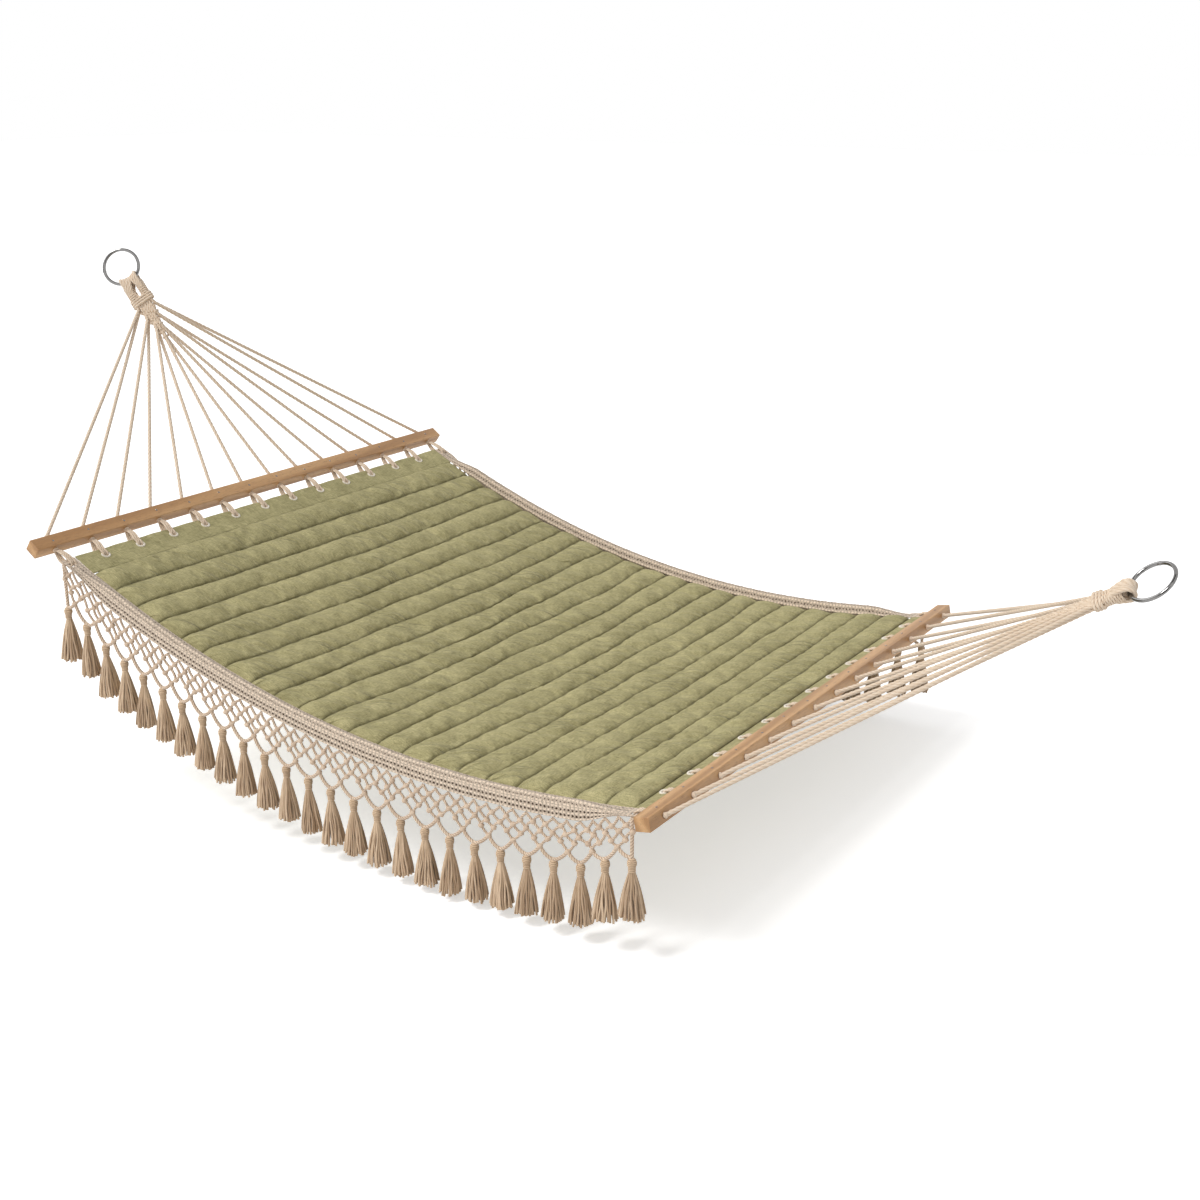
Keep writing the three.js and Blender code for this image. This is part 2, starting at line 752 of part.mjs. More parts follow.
for (const [name, end] of Object.entries(ends)) {
  const group = new THREE.Group();
  group.position.copy(end.at);
  group.rotation.z = end.turn;
  group.add(named(`${name}_hem`, hem(end), 'cloth'));
  group.add(named(`${name}_spreader_bar`, spreaderBar(end), 'wood'));
  for (let n = 1; n < cordHoles - 1; n += 1) {
    const loop = lacingLoop(end, holeAcross(n), eyeletAcross(end, n), hemThickness);
    group.add(named(`${name}_loop_${String(n).padStart(2, '0')}`, loop, 'cord'));
  }
  for (const [sideName, side] of [['near', end.near], ['far', -end.near]]) {
    const hole = side * holeAcross(cordHoles - 1);
    const loop = lacingLoop(end, hole, side * cornerAcross, bandThickness);
    group.add(named(`${name}_${sideName}_corner_loop`, loop, 'cord'));
  }
  // the fan's frame: x out along the fan, z up from it
  const fan = new THREE.Group();
  const lift = end.fanLift * degrees;
  const out = vec(-Math.cos(lift), 0, Math.sin(lift));
  const frame = new THREE.Matrix4().makeBasis(out, vec(0, -1, 0), out.clone().cross(vec(0, -1, 0)));
  fan.quaternion.setFromRotationMatrix(frame);
  fan.position.copy(end.outerHinge);
  for (let column = 0; column < columnCount; column += 1) {
    fan.add(named(`${name}_cord_${column + 1}`, suspensionCord(end, column), 'cord'));
  }
  fan.add(named(`${name}_clew_binding`, clewBinding(end, name), 'cord'));
  fan.add(named(`${name}_ring`, ring(end), 'steel'));
  group.add(fan);
  hammock.add(group);
  end.fan = fan;
}

// The whole is moved so that the hook's place in the head ring is the origin
hammock.updateMatrixWorld(true);
const hookInFan = vec(headFanReach + ringRadius - ringWire / 2, 0, 0);
hammock.position.copy(ends.head.fan.localToWorld(hookInFan)).negate();
hammock.updateMatrixWorld(true);

const spoken = (point) => point.toArray().map((value) => value.toFixed(2)).join(', ');
console.log(`hook at the origin, bed's middle at ${spoken(hammock.position)}`);
for (const [name, end] of Object.entries(ends)) {
  const group = end.fan.parent;
  const wire = end.fan.localToWorld(vec(end.fanReach - ringRadius, 0, 0));
  const wireSide = vec(0, 1, 0).applyAxisAngle(vec(1, 0, 0), end.clewTurn * degrees);
  const axis = end.fan.localToWorld(wireSide).sub(end.fan.localToWorld(vec(0, 0, 0)));
  console.log(`${name} bar hinge ${spoken(group.localToWorld(end.innerHinge.clone()))}`);
  console.log(`${name} fan hinge ${spoken(group.localToWorld(end.outerHinge.clone()))}`);
  console.log(`${name} ring hinge ${spoken(wire)} along ${spoken(axis)}`);
}

export default hammock;
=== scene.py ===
"""A padded hammock as it hangs: pad, bars, side bands with tasselled fringe, cord fans and rings."""

import json
import math

import bmesh
import bpy
import numpy as np
from mathutils import Matrix, Vector, noise


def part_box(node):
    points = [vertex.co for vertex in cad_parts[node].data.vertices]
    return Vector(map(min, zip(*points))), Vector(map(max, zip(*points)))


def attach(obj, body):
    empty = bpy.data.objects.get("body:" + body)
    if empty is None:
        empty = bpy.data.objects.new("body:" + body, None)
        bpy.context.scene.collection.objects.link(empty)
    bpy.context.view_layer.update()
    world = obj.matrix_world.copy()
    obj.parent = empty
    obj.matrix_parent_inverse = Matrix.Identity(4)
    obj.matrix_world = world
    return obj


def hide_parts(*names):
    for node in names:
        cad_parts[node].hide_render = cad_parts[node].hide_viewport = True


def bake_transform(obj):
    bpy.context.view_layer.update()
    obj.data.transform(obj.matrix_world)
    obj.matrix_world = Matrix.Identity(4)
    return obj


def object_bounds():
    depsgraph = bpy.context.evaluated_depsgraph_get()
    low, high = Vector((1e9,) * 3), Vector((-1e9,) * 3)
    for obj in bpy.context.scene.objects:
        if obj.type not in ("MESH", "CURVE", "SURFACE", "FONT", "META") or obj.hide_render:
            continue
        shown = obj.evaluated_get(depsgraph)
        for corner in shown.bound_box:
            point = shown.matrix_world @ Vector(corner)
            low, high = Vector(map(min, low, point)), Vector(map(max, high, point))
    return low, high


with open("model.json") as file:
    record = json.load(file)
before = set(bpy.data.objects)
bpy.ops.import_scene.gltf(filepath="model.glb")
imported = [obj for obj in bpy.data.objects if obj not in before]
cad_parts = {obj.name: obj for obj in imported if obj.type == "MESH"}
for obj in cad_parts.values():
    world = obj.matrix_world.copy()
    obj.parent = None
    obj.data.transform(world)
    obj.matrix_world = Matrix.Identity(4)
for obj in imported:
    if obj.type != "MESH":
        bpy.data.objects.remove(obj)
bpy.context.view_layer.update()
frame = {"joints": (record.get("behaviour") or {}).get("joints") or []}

# Camera
# The photograph was taken from above the foot end's near corner, level from side to side,
# with a mildly long lens and no shift. The distances are from the head ring's hook.

camera_turn = math.radians(32.79)
camera_rise = math.radians(17.97)
camera_place = Vector((3.3335, -2.8757, 0.4392))


def placed(name, data):
    """An object that holds this camera, lamp or mesh, in the scene."""
    made = bpy.data.objects.new(name, data)
    bpy.context.scene.collection.objects.link(made)
    return made


lens = bpy.data.cameras.new("camera")
lens.sensor_width = 36
lens.lens = 48.71
lens.clip_end = 60
camera = placed("camera", lens)
back = Vector((
    math.sin(camera_turn) * math.cos(camera_rise),
    -math.cos(camera_turn) * math.cos(camera_rise),
    math.sin(camera_rise),
))
camera.rotation_euler = back.to_track_quat("Z", "Y").to_euler()
camera.location = camera_place
bpy.context.scene.camera = camera
bpy.context.scene.view_settings.view_transform = "Standard"

# Suspension cords
# Seven soft twisted cotton cords at each end run from one hole of the bar, over the ring's
# wire and back to the next hole. A knot keeps each end in its hole.

cord_radius = 0.0032  # drawn tight, which sets how it lies on the ring
cord_loose = 0.0043  # as soft cord swells, which is how thick it shows
cord_lay = 0.036  # one full turn of the twist
# the cord's pale colour, and a darker tone that is both the painted shade in the grooves between the
# plies and a random mottling
cord_colour = (0.91, 0.77, 0.62)
cord_shade = (0.68, 0.52, 0.37)
hole_pitch = 0.1
holes = 14
columns = 7
column_pitch = 0.0067
binding_half = 0.0102
eye_length = 0.062
eye_slot = {"head": 0.019, "foot": 0.004}
clew_gather = {"head": 1.0, "foot": 0.62}
eye_gather = 0.52  # the cords' spacing in the eye's two sides, by their spacing in the clew
peel_step = 0.032
ring_radius = 0.045
wire_radius = 0.004
wire_gap = 0.0006

ends = {}
joints = {joint["name"]: joint for joint in frame["joints"]}
for end in ("head", "foot"):
    start = Vector(joints[f"{end}_fan_swing"]["pos_m"])
    wire = Vector(joints[f"{end}_ring_swing"]["pos_m"])
    out = (wire - start).normalized()
    side = Vector(joints[f"{end}_ring_swing"]["axis"])
    ends[end] = {
        "holes": start,
        "wire": wire,
        "out": out,
        "side": side,
        "through": out.cross(side),
        "reach": (wire - start).length,
        "across": Vector((0, 1 if out.x > 0 else -1, 0)),
    }


def in_clew(end, along, across, through):
    """A point by its distance out from the holes' line, across the cords and through them."""
    e = ends[end]
    return e["holes"] + e["out"] * along + e["side"] * across + e["through"] * through


def rounded(points, reach, steps=5):
    """The same line with each corner turned into a bend that starts this far before it."""
    line = [points[0]]
    for before, corner, after in zip(points, points[1:], points[2:]):
        room = min(reach, (before - corner).length * 0.45, (after - corner).length * 0.45)
        start = corner + (before - corner).normalized() * room
        end = corner + (after - corner).normalized() * room
        for n in range(steps + 1):
            t = n / steps
            line.append(start.lerp(corner, t).lerp(corner.lerp(end, t), t))
    line.append(points[-1])
    return line


def wire_rise(across):
    """How far the ring's wire has curved outward by this distance from its middle."""
    return ring_radius - math.sqrt(ring_radius**2 - (abs(across) + cord_radius) ** 2)


def suspension_route(end, column):
    e = ends[end]
    middle = (columns - 1) / 2
    across = (column - middle) * column_pitch * clew_gather[end]
    layer = column_pitch / 2
    bight = wire_rise(middle * column_pitch) + wire_radius + wire_gap + cord_radius
    bight_at = e["reach"] + wire_rise(across) + wire_radius + wire_gap - (bight - cord_radius)
    bound_at = e["reach"] - eye_length
    side = -1 if column < middle else 1
    parted = across * eye_gather + side * eye_slot[end] / 2
    order = middle - abs(column - middle)
    peel_at = bound_at - binding_half - 0.004 - order * peel_step
    lean = e["through"].dot(e["across"])

    def leg(layer_side):
        higher = 1 if layer_side * lean > 0 else 0
        hole = e["across"] * (2 * column + higher - (holes - 1) / 2) * hole_pitch
        return [
            e["holes"] + hole,
            in_clew(end, peel_at, across, layer_side * layer),
            in_clew(end, bound_at + binding_half, across, layer_side * layer),
            in_clew(end, bound_at + binding_half + 0.012, parted, layer_side * (layer + 0.001)),
            in_clew(end, e["reach"] - bight - 0.012, parted, layer_side * bight * 0.75),
        ]

    turn = []
    for n in range(13):
        angle = math.pi * (n / 12 - 0.5)
        turn.append(in_clew(
            end, bight_at + bight * math.cos(angle), across, -bight * math.sin(angle)
        ))
    down = rounded(leg(1) + [turn[0]], 0.012)
    up = rounded([turn[-1]] + leg(-1)[::-1], 0.012)
    return down + turn[1:-1] + up


def node(tree, kind, inputs=None, **settings):
    """Adds a node. Its inputs take values, sockets, or other nodes by their first output."""
    made = tree.nodes.new(kind)
    for name, value in settings.items():
        setattr(made, name, value)
    for name, value in (inputs or {}).items():
        if isinstance(value, bpy.types.Node):
            value = value.outputs[0]
        if isinstance(value, bpy.types.NodeSocket):
            tree.links.new(value, made.inputs[name])
        else:
            made.inputs[name].default_value = value
    return made


def maths(tree, operation, *values):
    """Adds one step of arithmetic on numbers and nodes."""
    return node(tree, "ShaderNodeMath", dict(enumerate(values)), operation=operation)


def new_tree(name, sizes):
    """A geometry tree with a mesh going in, the named sizes, a finish, and a mesh coming out."""
    tree = bpy.data.node_groups.new(name, "GeometryNodeTree")
    tree.interface.new_socket("Geometry", in_out="INPUT", socket_type="NodeSocketGeometry")
    for size in sizes:
        tree.interface.new_socket(size, in_out="INPUT", socket_type="NodeSocketFloat")
    tree.interface.new_socket("Finish", in_out="INPUT", socket_type="NodeSocketMaterial")
    tree.interface.new_socket("Geometry", in_out="OUTPUT", socket_type="NodeSocketGeometry")
    return tree, tree.nodes.new("NodeGroupInput")


def close_tree(tree, given, geometry):
    """Ends a tree: instances made real, smooth shading and the finish."""
    real = node(tree, "GeometryNodeRealizeInstances", {0: geometry})
    smooth = node(tree, "GeometryNodeSetShadeSmooth", {"Geometry": real})
    finished = node(tree, "GeometryNodeSetMaterial", {
        "Geometry": smooth, "Material": given.outputs["Finish"],
    })
    done = tree.nodes.new("NodeGroupOutput")
    tree.links.new(finished.outputs[0], done.inputs[0])
    return tree


def plain_mesh(piece):
    """The mesh that an object's modifiers make of it, as plain faces with smooth shading."""
    bpy.context.view_layer.update()
    shown = piece.evaluated_get(bpy.context.evaluated_depsgraph_get())
    made = bpy.data.meshes.new_from_object(shown)
    for polygon in made.polygons:
        polygon.use_smooth = True
    return made


def grown(name, mesh, tree, **inputs):
    """Runs a geometry tree on a mesh and returns the plain mesh object that it makes."""
    seed = placed(name + "_seed", mesh)
    modifier = seed.modifiers.new("grow", "NODES")
    modifier.node_group = tree
    wanted = {key.lower(): value for key, value in inputs.items()}
    for item in tree.interface.items_tree:
        if item.in_out == "INPUT" and item.name.lower().replace(" ", "_") in wanted:
            modifier[item.identifier] = wanted[item.name.lower().replace(" ", "_")]
    result = plain_mesh(seed)
    result.name = name
    bpy.data.objects.remove(seed)
    return placed(name, result)


def lines_mesh(name, lines):
    """A mesh of edges along one or more lines of points."""
    mesh = bpy.data.meshes.new(name)
    points = [point for line in lines for point in line]
    edges = []
    first = 0
    for line in lines:
        edges += [(first + n, first + n + 1) for n in range(len(line) - 1)]
        first += len(line)
    mesh.from_pydata([tuple(p) for p in points], edges, [])
    return mesh


def twisted_cord_tree():
    """A cord of three plies laid together, along the mesh's edges."""
    tree, given = new_tree("twisted_cord", ["Radius", "Lay", "Step"])
    line = node(tree, "GeometryNodeMeshToCurve", {"Mesh": given.outputs["Geometry"]})
    even = node(tree, "GeometryNodeResampleCurve", {
        "Curve": line, "Length": given.outputs["Step"],
    }, mode="LENGTH")
    place = node(tree, "GeometryNodeSplineParameter")
    turns = maths(tree, "DIVIDE", place.outputs["Length"], given.outputs["Lay"])
    angle = maths(tree, "MULTIPLY", turns, 2 * math.pi)
    laid = node(tree, "GeometryNodeSetCurveTilt", {"Curve": even, "Tilt": angle})
    circle = node(tree, "GeometryNodeCurvePrimitiveCircle", {
        "Resolution": 12, "Radius": given.outputs["Radius"],
    })
    around = node(tree, "GeometryNodeSplineParameter")
    plies = maths(tree, "MULTIPLY", around.outputs["Factor"], 6 * math.pi)
    ply = maths(tree, "COSINE", plies)
    swell = maths(tree, "MULTIPLY_ADD", ply, 0.09, 0.95)
    place = node(tree, "GeometryNodeInputPosition")
    moved = node(tree, "ShaderNodeVectorMath", {0: place, "Scale": swell}, operation="SCALE")
    # the ply value is high on each ply's top and low in the grooves, where the finish paints shade
    marked = node(tree, "GeometryNodeStoreNamedAttribute", {
        "Geometry": circle, "Name": "ply", "Value": ply,
    }, data_type="FLOAT", domain="POINT")
    section = node(tree, "GeometryNodeSetPosition", {"Geometry": marked, "Position": moved})
    tube = node(tree, "GeometryNodeCurveToMesh", {
        "Curve": laid, "Profile Curve": section, "Fill Caps": True,
    })
    return close_tree(tree, given, tube)


def new_finish(name, constants):
    """A material with its tree and its shader, on which these constants are set."""
    material = bpy.data.materials.new(name)
    material.use_nodes = True
    tree = material.node_tree
    shader = tree.nodes["Principled BSDF"]
    for key, value in constants.items():
        shader.inputs[key].default_value = value
    return material, tree, shader


def cotton_finish(name, light, shade, fibre=1500):
    """Soft cotton yarn: its pale colour on top of each ply and painted shade in the grooves between
    plies, mottled darker in patches, with a fibre fuzz.
    """
    material, tree, shader = new_finish(name, {
        "Roughness": 0.92, "Specular IOR Level": 0.2, "Sheen Weight": 0.25, "Sheen Roughness": 0.6,
    })
    where = node(tree, "ShaderNodeTexCoord")
    groove = node(tree, "ShaderNodeAttribute", attribute_name="ply")
    depth = node(tree, "ShaderNodeMapRange", {
        "Value": groove.outputs["Fac"], "From Min": -1, "From Max": 0.4,
    })
    fuzz = node(tree, "ShaderNodeTexNoise", {
        "Vector": where.outputs["Object"], "Scale": fibre, "Detail": 3, "Roughness": 0.7,
    })
    patches = node(tree, "ShaderNodeTexNoise", {
        "Vector": where.outputs["Object"], "Scale": 45, "Detail": 2,
    })
    tone = maths(tree, "ADD", fuzz.outputs["Fac"], patches.outputs["Fac"])
    spread = node(tree, "ShaderNodeMapRange", {
        "Value": tone, "From Min": 0.6, "From Max": 1.4, "To Min": 0.35, "To Max": 1.0,
    })
    share = maths(tree, "MULTIPLY", depth, spread)
    # painted shade: the colour goes from the pale tone on the plies' tops to the shade colour in the
    # grooves
    colour = node(tree, "ShaderNodeMix", {
        "Factor": share, 6: (*shade, 1), 7: (*light, 1),
    }, data_type="RGBA")
    bump = node(tree, "ShaderNodeBump", {
        "Height": fuzz.outputs["Fac"], "Strength": 0.5, "Distance": 0.0006,
    })
    tree.links.new(colour.outputs[2], shader.inputs["Base Color"])
    tree.links.new(bump.outputs[0], shader.inputs["Normal"])
    return material


twisted_cord = twisted_cord_tree()
cord_finish = cotton_finish("cord_cotton", cord_colour, cord_shade)


for end in ends:
    for column in range(columns):
        route = suspension_route(end, column)
        name = f"{end}_suspension_cord_{column + 1}"
        cord = grown(
            name, lines_mesh(name, [route]), twisted_cord,
            radius=cord_loose, lay=cord_lay, step=0.0030, finish=cord_finish,
        )
        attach(cord, f"{end}_fan")
        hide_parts(f"{end}_cord_{column + 1}")

# Knots in the holes' mouths
# Each cord's end is knotted where it leaves its hole, so that it can't pull through.

knot_radius = 0.0060


def drawn_mesh(name, shape, smooth=False):
    """Ends the drawing of a shape and returns its mesh."""
    mesh = bpy.data.meshes.new(name)
    shape.to_mesh(mesh)
    shape.free()
    for polygon in mesh.polygons:
        polygon.use_smooth = smooth
    return mesh


def knot_mesh(name, places, radius, seed):
    """Lumps of cord wound on themselves, one at each place."""
    shape = bmesh.new()
    random = np.random.default_rng(seed)
    for place, toward in places:
        made = bmesh.ops.create_icosphere(shape, subdivisions=3 if radius > 0.004 else 2, radius=radius)
        turn = toward.to_track_quat("Z", "Y").to_matrix()
        phase = random.uniform(0, 2 * math.pi)
        for vert in made["verts"]:
            x, y, z = vert.co / radius
            ridge = 0.10 * math.sin(5.5 * z + 2 * math.atan2(y, x) + phase)
            vert.co = turn @ (vert.co * (1 + ridge) * Vector((1, 1, 0.9))) + place
    return drawn_mesh(name, shape, smooth=True)


def add_piece(name, mesh, finish, body):
    """A finished piece at the origin, on its body."""
    piece = placed(name, mesh)
    mesh.materials.append(finish)
    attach(piece, body)
    return piece


for end, e in ends.items():
    places = []
    for column in range(columns):
        route = suspension_route(end, column)
        places.append((route[0], route[1] - route[0]))
        places.append((route[-1], route[-2] - route[-1]))
    knots = knot_mesh(f"{end}_end_knots", places, knot_radius, 3)
    knots = add_piece(f"{end}_end_knots", knots, cord_finish, f"{end}_fan")

# Clew bindings
# Where the cords come together under each ring they are woven in and out with the same cord,
# bound flat with turns of it, and the two sides of the eye above are whipped round.

binding_turns = 3
binding_cord = 0.0034
whip_turns = 7
whip_cord = 0.0027
weft_cord = 0.0029
weft_rows = 9


def wound(end, along, across, half_across, half_through, turns, pitch):
    """A cord wound round a flat bundle, from this distance along the clew outward."""
    corner = half_through * 0.9
    steps = 24
    line = []
    for n in range(turns * steps + 1):
        angle = 2 * math.pi * n / steps
        wide = math.copysign(abs(math.cos(angle)) ** 0.45, math.cos(angle))
        deep = math.copysign(abs(math.sin(angle)) ** 0.75, math.sin(angle))
        side = wide * (half_across - corner) + math.cos(angle) * corner
        line.append(in_clew(end, along + pitch * n / steps, across + side, deep * half_through))
    return line


def clew_windings(end):
    """The binding's turns, the turns round the eye's two sides, and the plaited wefts."""
    gather = clew_gather[end]
    middle = (columns - 1) / 2
    bound_at = ends[end]["reach"] - eye_length
    deep = column_pitch / 2 + cord_loose
    binding = wound(
        end, bound_at - binding_half + binding_cord, 0, (middle * column_pitch) * gather
        + cord_loose + binding_cord, deep + binding_cord * 0.6, binding_turns, 2 * binding_cord,
    )
    whips = []
    for side, count in ((-1, columns // 2), (1, columns - columns // 2)):
        inner = eye_slot[end] / 2 + (0 if side > 0 else column_pitch * gather * eye_gather)
        outer = eye_slot[end] / 2 + middle * column_pitch * gather * eye_gather
        whips.append(wound(
            end, bound_at + binding_half + whip_cord, side * (inner + outer) / 2,
            (outer - inner) / 2 + cord_loose + whip_cord * 0.4, deep + whip_cord * 0.9,
            whip_turns, 2.05 * whip_cord,
        ))
    wefts = []
    for row in range(weft_rows):
        start = bound_at - binding_half - 0.006 - row * 0.0115
        reach = max(0.6, middle - (row * 0.0115) / peel_step)
        line = []
        for n in range(25):
            part = n / 12 - 1
            column = part * (reach + 0.5)
            over = math.cos(math.pi * (column + row)) * (deep - 0.0008)
            line.append(in_clew(
                end, start - 0.019 * (1 - abs(part)) * reach / middle,
                column * column_pitch * gather, over,
            ))
        wefts.append(line)
    return binding, whips, wefts


for end in ends:
    binding, whips, wefts = clew_windings(end)
    bound = grown(
        f"{end}_binding", lines_mesh("binding", [binding]), twisted_cord,
        radius=binding_cord, lay=0.03, step=0.0022, finish=cord_finish,
    )
    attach(bound, f"{end}_fan")
    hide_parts(f"{end}_clew_binding")
    whipping = grown(
        f"{end}_eye_whipping", lines_mesh("whipping", whips), twisted_cord,
        radius=whip_cord, lay=0.03, step=0.0022, finish=cord_finish,
    )
    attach(whipping, f"{end}_fan")
    plait = grown(
        f"{end}_plaited_wefts", lines_mesh("wefts", wefts), twisted_cord,
        radius=weft_cord, lay=0.03, step=0.0022, finish=cord_finish,
    )
    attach(plait, f"{end}_fan")

# Rings
# Each ring is polished steel wire bent round and welded shut, and hangs in the cords' turns.


def ring_mesh(name, end):
    e = ends[end]
    shape = bmesh.new()
    around, across = 120, 20
    loops = []
    for n in range(around):
        angle = 2 * math.pi * n / around
        outward = e["out"] * math.cos(angle) + e["side"] * math.sin(angle)
        # the weld is a slightly thicker place on the side of the ring
        weld = 1 + 0.16 * math.exp(-(((angle - 1.25) * ring_radius / 0.0022) ** 2))
        middle = e["wire"] + e["out"] * ring_radius + outward * ring_radius
        loop = []
        for k in range(across):
            turn = 2 * math.pi * k / across
            rim = outward * math.cos(turn) + e["through"] * math.sin(turn)
            loop.append(shape.verts.new(middle + rim * wire_radius * weld))
        loops.append(loop)
    for n in range(around):
        here, there = loops[n], loops[(n + 1) % around]
        for k in range(across):
            m = (k + 1) % across
            shape.faces.new((here[k], here[m], there[m], there[k]))
    bmesh.ops.recalc_face_normals(shape, faces=shape.faces)
    return drawn_mesh(name, shape, smooth=True)


def steel_finish():
    """Polished steel with faint handling marks."""
    material, tree, shader = new_finish("ring_steel", {"Metallic": 1.0})
    where = node(tree, "ShaderNodeTexCoord")
    marks = node(tree, "ShaderNodeTexNoise", {
        "Vector": where.outputs["Object"], "Scale": 260, "Detail": 4,
    })
    rough = node(tree, "ShaderNodeMapRange", {
        "Value": marks.outputs["Fac"], "From Min": 0.3, "From Max": 0.75,
        "To Min": 0.06, "To Max": 0.18,
    })
    colour = node(tree, "ShaderNodeMix", {
        "Factor": marks.outputs["Fac"], 6: (0.17, 0.165, 0.16, 1), 7: (0.30, 0.295, 0.29, 1),
    }, data_type="RGBA")
    tree.links.new(rough.outputs["Result"], shader.inputs["Roughness"])
    tree.links.new(colour.outputs[2], shader.inputs["Base Color"])
    return material


ring_finish = steel_finish()
for end in ends:
    ring = add_piece(f"{end}_steel_ring", ring_mesh(f"{end}_steel_ring", end), ring_finish, f"{end}_ring")
    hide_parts(f"{end}_ring")

# Spreader bars
# Each bar is planed hardwood with eased edges, drilled from side to side for the cords,
# and oiled. It hangs at the angle that its cords and loops pull it to.

bar_length = 1.4
bar_depth = 0.032
bar_height = 0.028
bar_edge = 0.0022
hole_radius = 0.0061
bar_tilt = {"head": math.radians(36), "foot": math.radians(11)}


def bar_place(end):
    """Where a bar drawn along the y axis goes: tilted, and turned to face the bed."""
    low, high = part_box(f"{end}_spreader_bar")
    turned = Matrix.Rotation(0 if end == "head" else math.pi, 4, "Z")
    tilted = Matrix.Rotation(bar_tilt[end], 4, "Y")
    return Matrix.Translation((low + high) / 2) @ turned @ tilted


def bar_mesh(name, end):
    shape = bmesh.new()
    bmesh.ops.create_cube(shape, size=1)
    bmesh.ops.scale(shape, verts=shape.verts, vec=(bar_depth, bar_length, bar_height))
    bmesh.ops.bevel(
        shape, geom=shape.edges[:], offset=bar_edge, segments=3, profile=0.6, affect="EDGES"
    )
    blank = placed(name + "_blank", drawn_mesh(name, shape))
    drills = bmesh.new()
    for n in range(holes):
        bmesh.ops.create_cone(
            drills, cap_ends=True, segments=28, radius1=hole_radius, radius2=hole_radius,
            depth=2 * bar_depth,
            matrix=Matrix.Translation((0, (n - (holes - 1) / 2) * hole_pitch, 0))
            @ Matrix.Rotation(math.pi / 2, 4, "Y"),
        )
    drill = placed("drills", drawn_mesh("drills", drills))
    cut = blank.modifiers.new("holes", "BOOLEAN")
    cut.object = drill
    cut.solver = "EXACT"
    made = plain_mesh(blank)
    made.name = name
    bpy.data.objects.remove(blank)
    bpy.data.objects.remove(drill)
    made.transform(bar_place(end))
    made.set_sharp_from_angle(angle=math.radians(35))
    return made


def wood_finish():
    """Mid-brown hardwood: long streaks and fine pores along the bar, under a thin oil."""
    material, tree, shader = new_finish("hardwood", {"Coat Weight": 0.12, "Coat Roughness": 0.35})
    where = node(tree, "ShaderNodeTexCoord")
    along = node(tree, "ShaderNodeMapping", {
        "Vector": where.outputs["Object"], "Scale": (55, 2.4, 55),
    })
    streaks = node(tree, "ShaderNodeTexNoise", {
        "Vector": along, "Scale": 1, "Detail": 5, "Distortion": 0.6,
    })
    rings = node(tree, "ShaderNodeTexWave", {
        "Vector": along, "Scale": 0.30, "Distortion": 7.0, "Detail": 3,
        "Detail Scale": 0.8,
    }, wave_type="BANDS", bands_direction="DIAGONAL")
    fine = node(tree, "ShaderNodeMapping", {
        "Vector": where.outputs["Object"], "Scale": (1500, 45, 1500),
    })
    pores = node(tree, "ShaderNodeTexNoise", {"Vector": fine, "Scale": 1, "Detail": 2})
    pore_line = node(tree, "ShaderNodeMapRange", {
        "Value": pores.outputs["Fac"], "From Min": 0.56, "From Max": 0.72,
    })
    mixed = maths(tree, "MULTIPLY", streaks.outputs["Fac"], rings.outputs["Fac"])
    ramp = node(tree, "ShaderNodeValToRGB", {"Fac": mixed})
    ramp.color_ramp.elements[0].position = 0.02
    ramp.color_ramp.elements[0].color = (0.42, 0.220, 0.088, 1)
    ramp.color_ramp.elements[1].position = 0.55
    ramp.color_ramp.elements[1].color = (0.63, 0.375, 0.176, 1)
    middle = ramp.color_ramp.elements.new(0.25)
    middle.color = (0.53, 0.296, 0.128, 1)
    colour = node(tree, "ShaderNodeMix", {
        "Factor": pore_line, 6: ramp.outputs["Color"],
        7: (0.25, 0.12, 0.05, 1),
    }, data_type="RGBA")
    rough = node(tree, "ShaderNodeMapRange", {
        "Value": streaks.outputs["Fac"], "To Min": 0.42, "To Max": 0.62,
    })
    height = maths(tree, "SUBTRACT", streaks.outputs["Fac"], pore_line)
    bump = node(tree, "ShaderNodeBump", {"Height": height, "Strength": 0.35, "Distance": 0.0004})
    tree.links.new(colour.outputs[2], shader.inputs["Base Color"])
    tree.links.new(rough.outputs["Result"], shader.inputs["Roughness"])
    tree.links.new(bump.outputs[0], shader.inputs["Normal"])
    return material


hardwood = wood_finish()
for end in ends:
    bar = add_piece(f"{end}_bar", bar_mesh(f"{end}_bar", end), hardwood, f"{end}_bar")
    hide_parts(f"{end}_spreader_bar")

# Brads
# A small domed steel brad is driven into the bar's top face over each hole and pins the
# cord inside it.

brad_radius = 0.0026
brad_height = 0.0009


def brad_tree():
    """A low domed head on each point of the mesh, standing along its normal."""
    tree, given = new_tree("brads", ["Radius", "Height"])
    head = node(tree, "GeometryNodeMeshUVSphere", {
        "Segments": 16, "Rings": 8, "Radius": given.outputs["Radius"],
    })
    flat = maths(tree, "DIVIDE", given.outputs["Height"], given.outputs["Radius"])
    size = node(tree, "ShaderNodeCombineXYZ", {"X": 1, "Y": 1, "Z": flat})
    low = node(tree, "GeometryNodeTransform", {"Geometry": head.outputs["Mesh"], "Scale": size})
    facing = node(tree, "GeometryNodeInputNamedAttribute", {"Name": "facing"}, data_type="FLOAT_VECTOR")
    turn = node(tree, "FunctionNodeAlignRotationToVector", {"Vector": facing}, axis="Z")
    put = node(tree, "GeometryNodeInstanceOnPoints", {
        "Points": given.outputs["Geometry"], "Instance": low,
        "Rotation": turn,
    })
    return close_tree(tree, given, put)


def points_mesh(name, points, **vectors):
    """A mesh of loose points that carries a named direction for each."""
    mesh = bpy.data.meshes.new(name)
    mesh.from_pydata([tuple(p) for p in points], [], [])
    for key, values in vectors.items():
        layer = mesh.attributes.new(key, "FLOAT_VECTOR", "POINT")
        layer.data.foreach_set("vector", np.array(values, float).ravel())
    return mesh


